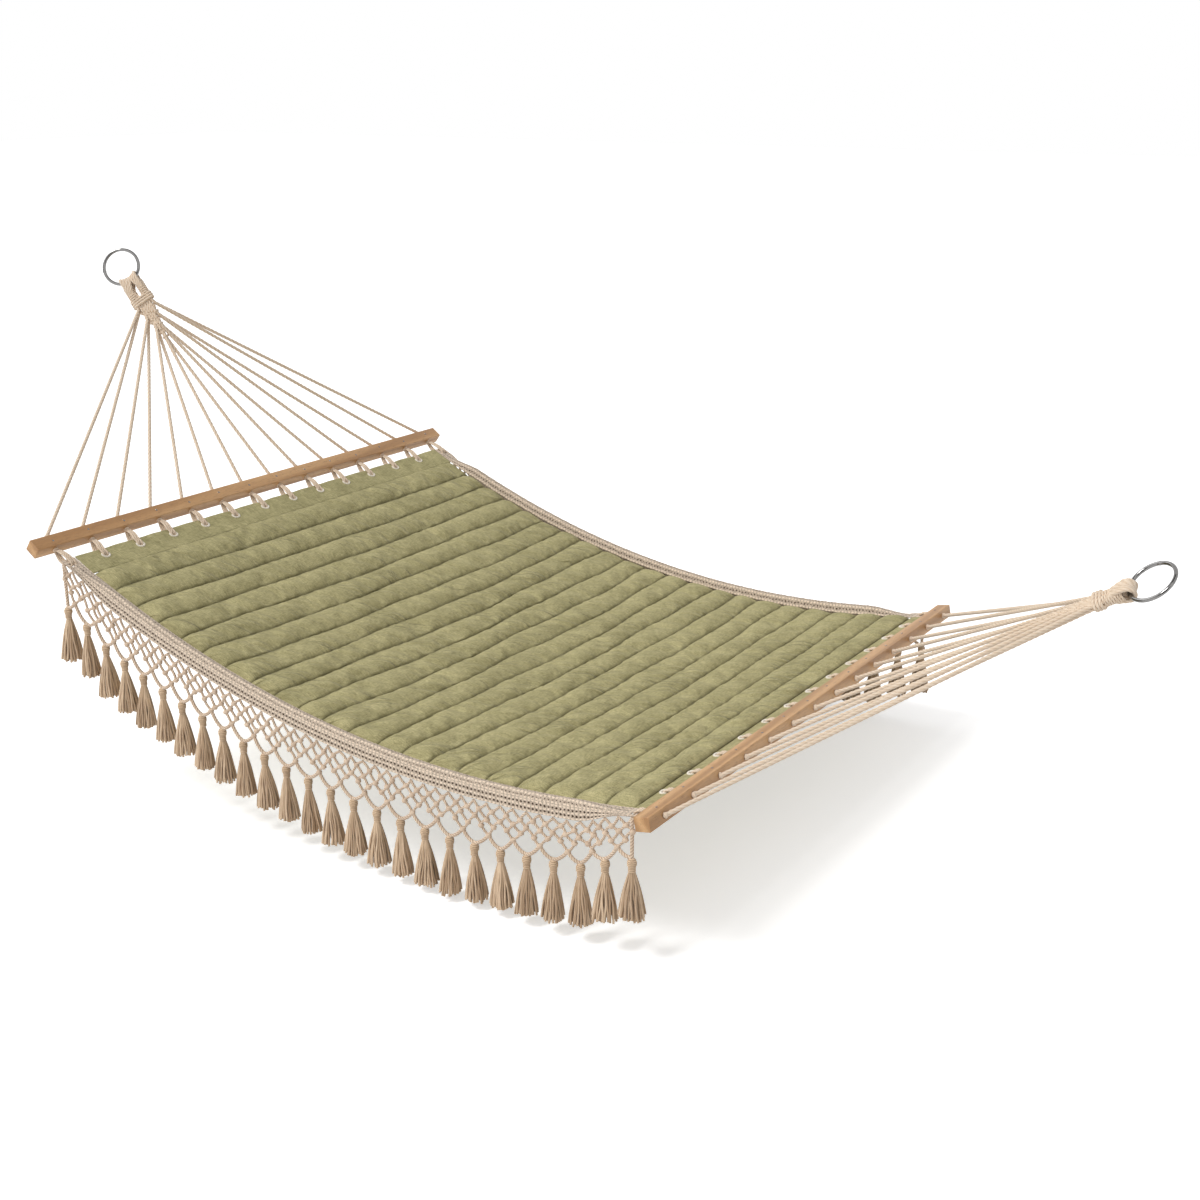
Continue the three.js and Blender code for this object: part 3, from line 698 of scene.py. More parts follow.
brads = brad_tree()
brad_finish = steel_finish()
brad_finish.name = "brad_steel"
for end in ends:
    place = bar_place(end)
    top = [
        place @ Vector((0.002 * (-1) ** n, (n - (holes - 1) / 2) * hole_pitch, bar_height / 2))
        for n in range(holes)
    ]
    facing = [place.to_3x3() @ Vector((0, 0, 1))] * holes
    heads = grown(
        f"{end}_brads", points_mesh("brads", top, facing=facing), brads,
        radius=brad_radius, height=brad_height, finish=brad_finish,
    )
    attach(heads, f"{end}_bar")

# The pad
# Two faces of heathered linen-like cloth are sewn together in channels across the bed and
# filled with polyester wadding. The sewn rows draw it in and pucker the cloth between them.

bed_span_sag = 0.135
pad_width = 1.264
pad_gap = {"head": 0.041, "foot": 0.014}
hem_length = {"head": 0.065, "foot": 0.026}
channels = 21
seam_height = 0.0021
top_crown = 0.0150
bottom_crown = 0.0085
side_swell = 0.16
pinch_width = 0.036
seam_pull = 0.003
side_droop = 0.006  # the pad's side hangs this much lower than the cloth beside it
droop_width = 0.035

bar_axis = {}
for end in ends:
    low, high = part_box(f"{end}_spreader_bar")
    bar_axis[end] = (low + high) / 2


class BedLine:
    """The sagging line from bar to bar, walked by its real length."""

    def __init__(self, head, foot, sag):
        t = np.linspace(0, 1, 2001)[:, None]
        first, last = np.array(head), np.array(foot)
        middle = (first + last) / 2 + np.array([0, 0, -2 * sag])
        self.places = (1 - t) ** 2 * first + 2 * t * (1 - t) * middle + t**2 * last
        steps = np.linalg.norm(np.diff(self.places, axis=0), axis=1)
        self.walked = np.concatenate([[0], np.cumsum(steps)])
        self.length = self.walked[-1]
        slopes = np.gradient(self.places, axis=0)
        self.slopes = slopes / np.linalg.norm(slopes, axis=1)[:, None]

    def at(self, along, across, height):
        """Points by their distance along the bed, across it and up from it."""
        along, across, height = np.broadcast_arrays(
            np.asarray(along, float), np.asarray(across, float), np.asarray(height, float)
        )
        x = np.interp(along, self.walked, self.places[:, 0])
        z = np.interp(along, self.walked, self.places[:, 2])
        sx = np.interp(along, self.walked, self.slopes[:, 0])
        sz = np.interp(along, self.walked, self.slopes[:, 2])
        return np.stack([x - sz * height, across, z + sx * height], axis=-1)


bed = BedLine(bar_axis["head"], bar_axis["foot"], bed_span_sag)
pad_start = {end: bar_depth / 2 + pad_gap[end] for end in ends}
quilt_start = pad_start["head"] + hem_length["head"]
quilt_end = bed.length - pad_start["foot"] - hem_length["foot"]
channel_pitch = (quilt_end - quilt_start) / channels
seam_bow = 0.024  # how far the seams bow towards the foot in the middle of the pad


# where the cloth's rows lie in a channel, close together beside its seams
row_shares = (0.0, 0.03, 0.09, 0.19, 0.33, 0.50, 0.67, 0.81, 0.91, 0.97)
pucker_length = 0.085
pucker_width = 0.027
crease_length = 0.078
crease_width = 0.020
pucker_turn = math.radians(38)
pucker_depth = 0.0062
seam_shadow = 0.0024


def bowed(along, across):
    """Where a seam that starts at the side really runs: it bows towards the foot."""
    part = (along - quilt_start) / (quilt_end - quilt_start)
    middle = 1 - (across / (pad_width / 2)) ** 2
    inside = np.sin(np.pi * np.clip(part, 0, 1)) ** 0.7
    sway = 0.0035 * np.sin(across * 9 + along * 21) + 0.0022 * np.sin(across * 23 - along * 57)
    return along + inside * (seam_bow * middle + sway)


def puckers(along, across, seed):
    """Soft slanting creases, from 0 on smooth cloth to 1 on a crease's top."""
    sine, cosine = math.sin(pucker_turn), math.cos(pucker_turn)
    height = np.empty(along.shape)
    for place in np.ndindex(along.shape):
        a, c = along[place], across[place]
        run = (a * cosine + c * sine) / pucker_length
        over = (c * cosine - a * sine) / pucker_width
        crease = noise.noise(Vector((run, over, seed)))
        where = noise.noise(Vector((a * 9, c * 9, seed + 7)))
        height[place] = max(0, 1 - abs(crease) * 3.4) * min(max(where * 1.6 + 0.55, 0), 1)
    return height


def pad_mesh(name, across_count, fullness, seed):
    """The closed pad as a grid: its top from side to side, then its underside back."""
    shares = np.array(row_shares)
    phase = np.append(np.tile(shares, channels), 0.0)
    channel = np.append(np.repeat(np.arange(channels), len(shares)), channels)
    along = quilt_start + (channel + phase) * channel_pitch
    y = np.linspace(-1, 1, across_count)
    random = np.random.default_rng(seed)
    from_side = pad_width / 2 * (1 - np.abs(y))
    middle = 1 - (1 - np.clip(from_side / pinch_width, 0, 1)) ** 2.4
    # a channel stands steeply at its seams and is nearly level over its middle
    swell = (1 - np.abs(2 * phase - 1) ** 2.6)[:, None] ** 0.72
    swell = swell * (side_swell + (1 - side_swell) * middle[None, :])
    # each channel is filled a little differently along its length
    lumps = np.ones((len(along), across_count))
    for n in range(channels):
        wave = sum(
            random.uniform(-1, 1) * np.sin(y * k * 2.1 + random.uniform(0, 6.3)) / math.sqrt(k)
            for k in range(1, 9)
        )
        lumps[channel == n] = 1 + 0.06 * wave
    droop = side_droop * (1 - np.clip(from_side / droop_width, 0, 1)) ** 2
    at_seam = (phase == 0)[:, None]
    drawn = np.where(at_seam, seam_pull, 0) * (middle[None, :] < 0.05)
    sheets = []
    for crown, side in ((top_crown, 1), (bottom_crown, -1)):
        flat = seam_height * (0.5 + 0.5 * middle[None, :])
        height = flat + (crown * fullness - seam_height) * swell * lumps
        across = y[None, :] * (pad_width / 2 - drawn)
        real_along = bowed(along[:, None] + 0 * across, across)
        creased = puckers(real_along, across * side, seed) * np.clip(swell * 1.5 - 0.25, 0, 1)
        height = height - pucker_depth * creased * (crown / top_crown)
        sheets.append(bed.at(real_along, across, side * height - droop[None, :]))
    top, bottom = sheets
    section = np.concatenate([top, bottom[:, ::-1]], axis=1)
    rows, loops = section.shape[:2]
    mesh = bpy.data.meshes.new(name)
    index = np.arange(rows * loops).reshape(rows, loops)
    a, b = index[:-1], index[1:]
    quads = np.stack([a, b, np.roll(b, -1, 1), np.roll(a, -1, 1)], axis=-1).reshape(-1, 4)
    faces = [tuple(int(v) for v in quad) for quad in quads]
    for row in (index[0], index[-1]):
        for c in range(across_count - 1):
            cap = [int(row[k]) for k in (c, c + 1, loops - 2 - c, loops - 1 - c)]
            faces.append(cap if row is index[-1] else cap[::-1])
    mesh.from_pydata(section.reshape(-1, 3).tolist(), [], faces)
    sewn = np.zeros((rows, loops), bool)
    sewn[phase == 0] = True
    sewn[:, [0, across_count - 1, across_count, loops - 1]] = True
    # the seams stay sharp, and carry a painted shade that fades out over the cloth beside them
    seam_painted_shade = np.exp(-((np.minimum(phase, 1 - phase) * channel_pitch / seam_shadow) ** 2))
    painted_shading = mesh.attributes.new("seam", "FLOAT", "POINT")
    painted_shading.data.foreach_set("value", np.repeat(seam_painted_shade, loops))
    pairs = np.empty(len(mesh.edges) * 2, int)
    mesh.edges.foreach_get("vertices", pairs)
    pairs = pairs.reshape(-1, 2)
    on_seam = np.repeat(phase == 0, loops)
    sharp = on_seam[pairs[:, 0]] & on_seam[pairs[:, 1]]
    sharp &= pairs[:, 0] // loops == pairs[:, 1] // loops
    crease = mesh.attributes.new("crease_edge", "FLOAT", "EDGE")
    crease.data.foreach_set("value", sharp * 0.8)
    return mesh, sewn.ravel()


def puffed(piece, pinned, frames, most):
    """Swells the pad between its seams with air, and gathers the cloth into puckers."""
    rest = np.array([v.co for v in piece.data.vertices])
    group = piece.vertex_groups.new(name="sewn")
    group.add([int(n) for n in np.flatnonzero(pinned)], 1.0, "REPLACE")
    cloth = piece.modifiers.new("cloth", "CLOTH")
    settings = cloth.settings
    settings.quality = 5
    settings.mass = 0.25
    settings.tension_stiffness = 18
    settings.compression_stiffness = 18
    settings.shear_stiffness = 6
    settings.bending_stiffness = 0.35
    settings.air_damping = 2
    settings.vertex_group_mass = "sewn"
    settings.use_pressure = True
    settings.uniform_pressure_force = 2.4
    settings.shrink_min = -0.018
    settings.effector_weights.gravity = 0
    cloth.collision_settings.use_collision = False
    cloth.point_cache.frame_start = 1
    cloth.point_cache.frame_end = frames
    scene = bpy.context.scene
    for step in range(1, frames + 1):
        scene.frame_set(step)
    shown = piece.evaluated_get(bpy.context.evaluated_depsgraph_get())
    moved = np.array([v.co for v in shown.data.vertices])
    piece.modifiers.remove(cloth)
    piece.vertex_groups.clear()
    scene.frame_set(1)
    change = moved - rest
    far = np.linalg.norm(change, axis=1)
    change *= np.minimum(1, most / np.maximum(far, 1e-9))[:, None]
    piece.data.vertices.foreach_set("co", (rest + change).ravel())
    piece.data.update()


def rounded_off(piece):
    """Halves a piece's faces and rounds it, and makes it a plain mesh again."""
    finer = piece.modifiers.new("finer", "SUBSURF")
    finer.levels = 1
    finer.render_levels = 1
    made = plain_mesh(piece)
    piece.modifiers.clear()
    piece.data = made


def cloth_finish(name, light, shade, crease_depth):
    """Linen-like cloth: slubs and flecks of paler and darker yarn, a plain weave, and creases, with
    painted shade in the creases' valleys and along the seams.
    """
    material, tree, shader = new_finish(name, {
        "Roughness": 0.9, "Specular IOR Level": 0.2, "Sheen Weight": 0.05, "Sheen Roughness": 0.5,
    })
    where = node(tree, "ShaderNodeTexCoord")
    weft = node(tree, "ShaderNodeMapping", {
        "Vector": where.outputs["Object"], "Scale": (900, 70, 900),
    })
    warp = node(tree, "ShaderNodeMapping", {
        "Vector": where.outputs["Object"], "Scale": (70, 900, 70),
    })
    slubs = [
        node(tree, "ShaderNodeTexNoise", {"Vector": m, "Scale": 1, "Detail": 3})
        for m in (weft, warp)
    ]
    yarns = maths(tree, "ADD", slubs[0].outputs["Fac"], slubs[1].outputs["Fac"])
    patches = node(tree, "ShaderNodeTexNoise", {
        "Vector": where.outputs["Object"], "Scale": 22, "Detail": 4,
    })
    both = maths(tree, "MULTIPLY_ADD", patches.outputs["Fac"], 0.45, yarns)
    share = node(tree, "ShaderNodeMapRange", {"Value": both, "From Min": 0.92, "From Max": 1.52})
    colour = node(tree, "ShaderNodeMix", {
        "Factor": share, 6: (*shade, 1), 7: (*light, 1),
    }, data_type="RGBA")
    threads = []
    for direction in ("X", "Y"):
        threads.append(node(tree, "ShaderNodeTexWave", {
            "Vector": where.outputs["Object"], "Scale": 240, "Distortion": 1.2, "Detail": 1,
        }, wave_type="BANDS", bands_direction=direction))
    weave = maths(tree, "MULTIPLY", threads[0].outputs["Fac"], threads[1].outputs["Fac"])
    relief = maths(tree, "ADD", weave, yarns)
    bump = node(tree, "ShaderNodeBump", {"Height": relief, "Strength": 0.4, "Distance": 0.0006})
    # slanting creases: the valleys lie where a stretched noise crosses its middle value
    slanted = node(tree, "ShaderNodeMapping", {
        "Vector": where.outputs["Object"], "Rotation": (0, 0, pucker_turn),
        "Scale": (crease_length, crease_width, 1),
    }, vector_type="TEXTURE")
    stretched = node(tree, "ShaderNodeTexNoise", {
        "Vector": slanted, "Scale": 0.9, "Detail": 0.8, "Distortion": 0.5,
    })
    beside = maths(tree, "SUBTRACT", stretched.outputs["Fac"], 0.5)
    beside = maths(tree, "ABSOLUTE", beside)
    valley = node(tree, "ShaderNodeMapRange", {
        "Value": beside, "From Min": 0.0, "From Max": 0.18,
    }, interpolation_type="SMOOTHSTEP")
    places = node(tree, "ShaderNodeTexNoise", {
        "Vector": where.outputs["Object"], "Scale": 8, "Detail": 2,
    })
    strong = node(tree, "ShaderNodeMapRange", {
        "Value": places.outputs["Fac"], "From Min": 0.38, "From Max": 0.62,
        "To Min": 0.15, "To Max": 1.0,
    })
    creases = maths(tree, "MULTIPLY", valley, strong)
    # painted shade: along the creases' valleys the cloth is darkened towards its shade colour
    crease_painted_shade = maths(tree, "SUBTRACT", strong, creases)
    crease_painted_shade = maths(tree, "MULTIPLY", crease_painted_shade, 0.30)
    dimmed = node(tree, "ShaderNodeMix", {
        "Factor": crease_painted_shade, 6: colour.outputs[2], 7: (*shade, 1),
    }, data_type="RGBA")
    folded = node(tree, "ShaderNodeBump", {
        "Height": creases, "Strength": 1.0, "Distance": crease_depth,
        "Normal": bump,
    })
    # painted shade: along each seam the cloth is darkened towards a third of its shade colour
    sewn = node(tree, "ShaderNodeAttribute", attribute_name="seam")
    seam_shade_share = maths(tree, "MULTIPLY", sewn.outputs["Fac"], 0.7)
    shaded = node(tree, "ShaderNodeMix", {
        "Factor": seam_shade_share, 6: dimmed.outputs[2],
        7: (*(0.33 * part for part in shade), 1),
    }, data_type="RGBA")
    tree.links.new(shaded.outputs[2], shader.inputs["Base Color"])
    tree.links.new(folded.outputs[0], shader.inputs["Normal"])
    return material


# the cloth's paler and darker yarn tones; the darker one is also the painted shade in the creases and, at
# a third of it, along the seams
cloth_light = (0.615, 0.552, 0.292)
cloth_shade = (0.250, 0.225, 0.103)
pad_cloth = cloth_finish("quilt_cloth", cloth_light, cloth_shade, 0.0036)
fullness = 0.94  # the air that is pumped in swells it the rest
mesh, sewn = pad_mesh("quilted_pad", 158, fullness, 11)
mesh.materials.append(pad_cloth)
pad = placed("quilted_pad", mesh)
puffed(pad, sewn, 20, 0.006)
rounded_off(pad)
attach(pad, "bed")
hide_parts("quilt_top_cover", "quilt_wadding", "quilt_bottom_cover")

# Hems
# At each end the two faces of the pad run on flat, folded together and stitched. A row of
# holes, each worked round with pale thread, takes the lacing.

hem_thickness = 0.003
eyelet_inset = {"head": 0.022, "foot": 0.013}
eyelet_radius = 0.0065
eyelet_shift = {"head": -0.012, "foot": 0.0}
eyelets = holes - 2
rim_radius = 0.0085
rim_wire = 0.0024

hem_frames = {}
for end in ends:
    middle = pad_start[end] + hem_length[end] / 2
    along = middle if end == "head" else bed.length - middle
    ahead = 0.001 if end == "head" else -0.001
    here = Vector(bed.at(along, 0, 0))
    inward = (Vector(bed.at(along + ahead, 0, 0)) - Vector(bed.at(along - ahead, 0, 0))).normalized()
    upward = inward.cross(Vector((0, 1, 0)))
    upward = upward if upward.z > 0 else -upward
    hem_frames[end] = (here, inward, upward)


def on_hem(end, along, across, height):
    """A point by its distance in from the hem's bar-side edge, across the bed and up."""
    here, inward, upward = hem_frames[end]
    return here + inward * (along - hem_length[end] / 2) + Vector((0, across, 0)) + upward * height


def eyelet_across(end, n):
    return (n - (eyelets - 1) / 2) * hole_pitch + eyelet_shift[end]


def hem_mesh(name, end):
    """A strip of square cells, with a round hole let into a block of them at each eyelet."""
    cell = 0.005
    block = 2 * cell
    inset, length = eyelet_inset[end], hem_length[end]
    before = round((inset - block) / cell + 0.4)
    after = round((length - inset - block) / cell + 0.4)
    rows = list(np.linspace(0, inset - block, before + 1))[:-1]
    first_row = len(rows)
    rows += [inset + cell * n for n in range(-2, 2)]
    rows += list(np.linspace(inset + block, length, after + 1))
    stops = []
    edge = -pad_width / 2
    for n in range(eyelets):
        start = eyelet_across(end, n) - block
        count = max(1, round((start - edge) / cell))
        stops += list(np.linspace(edge, start, count + 1))[:-1]
        stops += [start + cell * k for k in range(4)]
        edge = start + 2 * block
    stops += list(np.linspace(edge, pad_width / 2, round((pad_width / 2 - edge) / cell) + 1))
    shape = bmesh.new()
    grid = {}
    for r, along in enumerate(rows):
        for c, across in enumerate(stops):
            # the cloth pulls up a little between the eyelets, where nothing holds it
            near = min(abs(across - eyelet_across(end, n)) for n in range(eyelets))
            fall = 1 - min(along / length, 1)
            lift = 0.0016 * fall * math.sin(math.pi * min(near / 0.05, 1) / 2) ** 2
            ripple = 0.0007 * math.sin(across * 83 + 5 * r) * math.sin(across * 31)
            grid[r, c] = shape.verts.new(on_hem(end, along, across, lift + ripple * fall))
    blocks = [stops.index(eyelet_across(end, n) - block) for n in range(eyelets)]
    taken = {(first_row + r, b + c) for b in blocks for r in range(4) for c in range(4)}
    for r in range(len(rows) - 1):
        for c in range(len(stops) - 1):
            if (r, c) not in taken:
                shape.faces.new((grid[r, c], grid[r, c + 1], grid[r + 1, c + 1], grid[r + 1, c]))
    for n, b in enumerate(blocks):
        border = [(0, c) for c in range(4)] + [(r, 4) for r in range(4)]
        border += [(4, 4 - c) for c in range(4)] + [(4 - r, 0) for r in range(4)]
        outer = [grid[first_row + r, b + c] for r, c in border]
        inner = []
        for r, c in border:
            angle = math.atan2(r - 2, c - 2)
            inner.append(shape.verts.new(on_hem(
                end, inset + eyelet_radius * math.sin(angle),
                eyelet_across(end, n) + eyelet_radius * math.cos(angle), 0,
            )))
        for k in range(16):
            m = (k + 1) % 16
            shape.faces.new((outer[k], outer[m], inner[m], inner[k]))
    bmesh.ops.recalc_face_normals(shape, faces=shape.faces)
    return drawn_mesh(name, shape)


def stitched_rim_tree():
    """A ring of buttonhole stitches on each point, lying square to its facing."""
    tree, given = new_tree("stitched_rim", ["Radius", "Wire", "Stitches"])
    line = node(tree, "GeometryNodeCurvePrimitiveCircle", {
        "Resolution": 144, "Radius": given.outputs["Radius"],
    })
    place = node(tree, "GeometryNodeSplineParameter")
    turn = maths(tree, "MULTIPLY", place.outputs["Factor"], given.outputs["Stitches"])
    turn = maths(tree, "MULTIPLY", turn, math.pi)
    ridge = maths(tree, "SINE", turn)
    ridge = maths(tree, "ABSOLUTE", ridge)
    thick = maths(tree, "MULTIPLY_ADD", ridge, 0.38, 0.74)
    section = node(tree, "GeometryNodeCurvePrimitiveCircle", {
        "Resolution": 8, "Radius": given.outputs["Wire"],
    })
    rim = node(tree, "GeometryNodeCurveToMesh", {
        "Curve": line, "Profile Curve": section, "Scale": thick,
    })
    oval = node(tree, "GeometryNodeTransform", {"Geometry": rim, "Scale": (0.92, 1.06, 1.0)})
    facing = node(tree, "GeometryNodeInputNamedAttribute", {"Name": "facing"}, data_type="FLOAT_VECTOR")
    turned = node(tree, "FunctionNodeAlignRotationToVector", {"Vector": facing}, axis="Z")
    put = node(tree, "GeometryNodeInstanceOnPoints", {
        "Points": given.outputs["Geometry"], "Instance": oval,
        "Rotation": turned,
    })
    return close_tree(tree, given, put)


stitched_rim = stitched_rim_tree()
rim_finish = cotton_finish("eyelet_thread", (0.97, 0.92, 0.82), (0.80, 0.72, 0.60), fibre=2400)
hem_cloth = cloth_finish("hem_cloth", cloth_light, cloth_shade, 0.0012)
for end in ends:
    hem = add_piece(f"{end}_flat_hem", hem_mesh(f"{end}_flat_hem", end), hem_cloth, "bed")
    wall = hem.modifiers.new("wall", "SOLIDIFY")
    wall.thickness = hem_thickness
    wall.offset = 0
    rounded_off(hem)
    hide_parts(f"{end}_hem")
    places, facing = [], []
    for n in range(eyelets):
        for height in (hem_thickness / 2, -hem_thickness / 2):
            places.append(on_hem(end, eyelet_inset[end], eyelet_across(end, n), height))
            facing.append(hem_frames[end][2])
    rims = grown(
        f"{end}_eyelet_rims", points_mesh("rims", places, facing=facing), stitched_rim,
        radius=rim_radius, wire=rim_wire, stitches=26, finish=rim_finish,
    )
    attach(rims, "bed")

# Lacing
# Flat bands of three soft cords tie the hem to the bar. Each is knotted in a hole's mouth,
# goes over the hem into its eyelet, and comes back under the hem to the same hole.

lace_radius = 0.0027
lace_strands = 3
lace_lay = 0.018
lace_knot = 0.0064
band_tab = 0.036
band_edge = pad_width / 2 + 0.0003


def lacing_routes(end, hole_y, eyelet_y):
    """The cords of one lacing band, side by side."""
    hinge = Vector(joints[f"{end}_bar_swing"]["pos_m"])
    hinge.y = hole_y
    rise = hem_thickness / 2 + lace_radius + 0.0004
    gap = pad_gap[end]
    routes = []
    for k in range(lace_strands):
        beside = (k - (lace_strands - 1) / 2) * 2 * lace_radius
        y = eyelet_y + beside
        bight = eyelet_inset[end] - math.sqrt(eyelet_radius**2 - beside**2) + lace_radius
        over = [
            hinge + Vector((0, beside * 0.5, 0)) + hem_frames[end][2] * 0.0016,
            on_hem(end, -0.3 * gap, (hole_y + eyelet_y) / 2 + beside * 0.9, rise + 0.002),
            on_hem(end, 0.003, eyelet_y + beside, rise + 0.0022),
            on_hem(end, bight - 0.0030, y, rise),
            on_hem(end, bight + 0.0004, y, rise - 0.0030),
        ]
        under = [
            on_hem(end, bight + 0.0004, y, 0.0030 - rise),
            on_hem(end, bight - 0.0035, y, -rise - 0.0005),
            on_hem(end, 0.004, y - 0.004, -rise - 0.0045),
            on_hem(end, -0.3 * gap, (hole_y + eyelet_y) / 2 - 0.004 + beside, -rise - 0.0055),
            hinge + Vector((0, beside * 0.5, 0)) - hem_frames[end][2] * 0.0016,
        ]
        routes.append(rounded(over + under, 0.009, steps=3))
    return routes


# the second colour is the painted shade in the grooves between the cords' plies
lace_finish = cotton_finish("lacing_cotton", (0.97, 0.82, 0.65), (0.62, 0.46, 0.32))
for end in ends:
    routes = []
    knots = []
    corner = band_edge + band_tab / 2
    pairs = []
    for n in range(eyelets):
        across = eyelet_across(end, n)
        pairs.append((across - eyelet_shift[end], across))
    last = (holes - 1) / 2 * hole_pitch
    pairs += [(-last, -corner), (last, corner)]
    for hole_y, eyelet_y in pairs:
        routes += lacing_routes(end, hole_y, eyelet_y)
        hinge = Vector(joints[f"{end}_bar_swing"]["pos_m"])
        hinge.y = hole_y
        knots.append((hinge, hem_frames[end][1]))
    lacing = grown(
        f"{end}_lacing", lines_mesh("lacing", routes), twisted_cord,
        radius=lace_radius, lay=lace_lay, step=0.0026, finish=lace_finish,
    )
    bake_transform(lacing)
    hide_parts(*[f"{end}_loop_{n:02d}" for n in range(1, eyelets + 1)])
    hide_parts(f"{end}_near_corner_loop", f"{end}_far_corner_loop")
    tied = knot_mesh(f"{end}_lacing_knots", knots, lace_knot, 5)
    tied = add_piece(f"{end}_lacing_knots", tied, lace_finish, "bed")

# Side bands
# A crocheted cotton band edges each side of the pad. It is flat at the bars, where it is
# laced like a hem, and between them it turns down over the side. Rows of open stitches
# run along it.

band_thickness = 0.004
band_flat = 0.006
band_gather = 0.120
band_reach = 0.022
band_splay = 0.004
band_rise = {-1: 0.009, 1: 0.020}
band_hang = 0.027
stitch_pitch = 0.0088
band_rows = 12
open_rows = {1: 0.30, 3: 0.26, 5: 0.28, 8: 0.42, 10: 0.44}  # row and half the pit, by the row


def band_share(along):
    """How far the band has turned down here: 0 at the bars, 1 along the sides."""
    from_eyelet = np.minimum(
        along - pad_start["head"] - eyelet_inset["head"],
        bed.length - pad_start["foot"] - eyelet_inset["foot"] - along,
    )
    part = np.clip((from_eyelet - eyelet_radius - band_flat) / band_gather, 0, 1)
    return part * part * (3 - 2 * part)


def band_line(side, along, part):
    """How far out and down the band is, at this part of its width from its inner edge."""
    share = band_share(along)
    rise = band_rise[side]
    outward = (0, band_reach / 2, band_reach, band_reach + band_splay)
    hung_out, hung_down = 0, 0
    # the corners of its folded line are rounded by averaging over a short stretch of it
    for shift in (-0.09, -0.045, 0, 0.045, 0.09):
        reach = min(0.09, part, 1 - part)
        stop = (part + shift * reach / 0.09) * 3
        hung_out += np.interp(stop, (0, 1, 2, 3), outward) / 5
        hung_down += np.interp(stop, (0, 1, 2, 3), (0, rise, rise, -band_hang)) / 5
    out = part * band_tab * (1 - share) + hung_out * share
    return out, hung_down * share


def band_place(side, along, part, depth):
    """A point on the band, this far out from the middle of its thickness."""
    out, down = band_line(side, along, part)
    out_next, down_next = band_line(side, along, min(part + 0.02, 1.0))
    out_last, down_last = band_line(side, along, max(part - 0.02, 0.0))
    run = np.stack([out_next - out_last, down_next - down_last], axis=-1)
    run /= np.linalg.norm(run, axis=-1)[..., None]
    return bed.at(
        along, side * (band_edge + out - run[..., 1] * depth), down + run[..., 0] * depth
    )


def crochet_mesh(name, side):
    """The band stitch by stitch: a raised knob for a closed stitch, a deep pit for a loose one."""
    length = bed.length - pad_start["head"] - pad_start["foot"]
    columns = round(length / stitch_pitch)
    shape = bmesh.new()
    # each point carries a painted shading value: 1 on the knobs, 0.6 on the pits' lips, 0.5 at the cells'
    # corners and 0 in the pits
    painted_shading = shape.verts.layers.float_color.new("stitch")

    def put(r, c, height, tone=1.0):
        along = pad_start["head"] + length * c / columns
        # the rows pull against each other, so that no stitch is quite square
        wave = 0.13 * math.sin(c * 1.9 + r * 2.3) + 0.08 * math.sin(c * 0.37 + r)
        # the rows are as wide as each other along the band's folded line
        part = float(np.interp((r + wave) / band_rows, (0, 0.25, 0.41, 1), (0, 1 / 3, 2 / 3, 1)))
        point = band_place(side, np.float64(along), np.float64(part), height)
        vert = shape.verts.new(point)
        vert[painted_shading] = (tone, tone, tone, 1)
        return vert

    corners = {}
    half = band_thickness / 2
    for r in range(band_rows + 1):
        for c in range(columns + 1):
            edge = 0.75 if r in (0, band_rows) else 0.55
            corners[r, c] = (put(r, c, half * edge, 0.5), put(r, c, -half * edge, 0.5))
    tab_holes = []
    for end in ends:
        along = pad_start[end] + eyelet_inset[end]
        tab_holes.append(along if end == "head" else bed.length - along)

    def kept(r, c):
        if not (0 <= r < band_rows and 0 <= c < columns):
            return False
        along = pad_start["head"] + length * (c + 0.5) / columns
        out = band_line(side, along, (r + 0.5) / band_rows)[0]
        return all(
            math.hypot(along - at, out - band_tab / 2) > eyelet_radius - 0.001 for at in tab_holes
        )

    for r in range(band_rows):
        for c in range(columns):
            if not kept(r, c):
                continue
            around = [(r, c), (r, c + 1), (r + 1, c + 1), (r + 1, c)]
            top = [corners[key][0] for key in around]
            low = [corners[key][1] for key in around]
            if r in open_rows and 2 < c < columns - 3:
                size = open_rows[r]
                lip, pit = [], []
                for dr, dc in ((-1, -1), (-1, 1), (1, 1), (1, -1)):
                    at = (r + 0.5 + dr * size, c + 0.5 + dc * size * 0.74)
                    lip.append(put(*at, half * 0.9, 0.6))
                    pit.append(put(*at, -half * 0.3, 0.0))
                for k in range(4):
                    m = (k + 1) % 4
                    shape.faces.new((top[k], top[m], lip[m], lip[k]))
                    shape.faces.new((lip[k], lip[m], pit[m], pit[k]))
                shape.faces.new(pit)
                shape.faces.new(low[::-1])
            else:
                knob = put(r + 0.5, c + 0.5, half * 1.4)
                for k in range(4):
                    shape.faces.new((top[k], top[(k + 1) % 4], knob))
                shape.faces.new(low[::-1])
            walls = [((r - 1, c), 0), ((r, c + 1), 1), ((r + 1, c), 2), ((r, c - 1), 3)]
            for beside, k in walls:
                if not kept(*beside):
                    m = (k + 1) % 4
                    shape.faces.new((top[m], top[k], low[k], low[m]))
    loose = [vert for vert in shape.verts if not vert.link_faces]
    bmesh.ops.delete(shape, geom=loose, context="VERTS")
    bmesh.ops.recalc_face_normals(shape, faces=shape.faces)
    return drawn_mesh(name, shape)


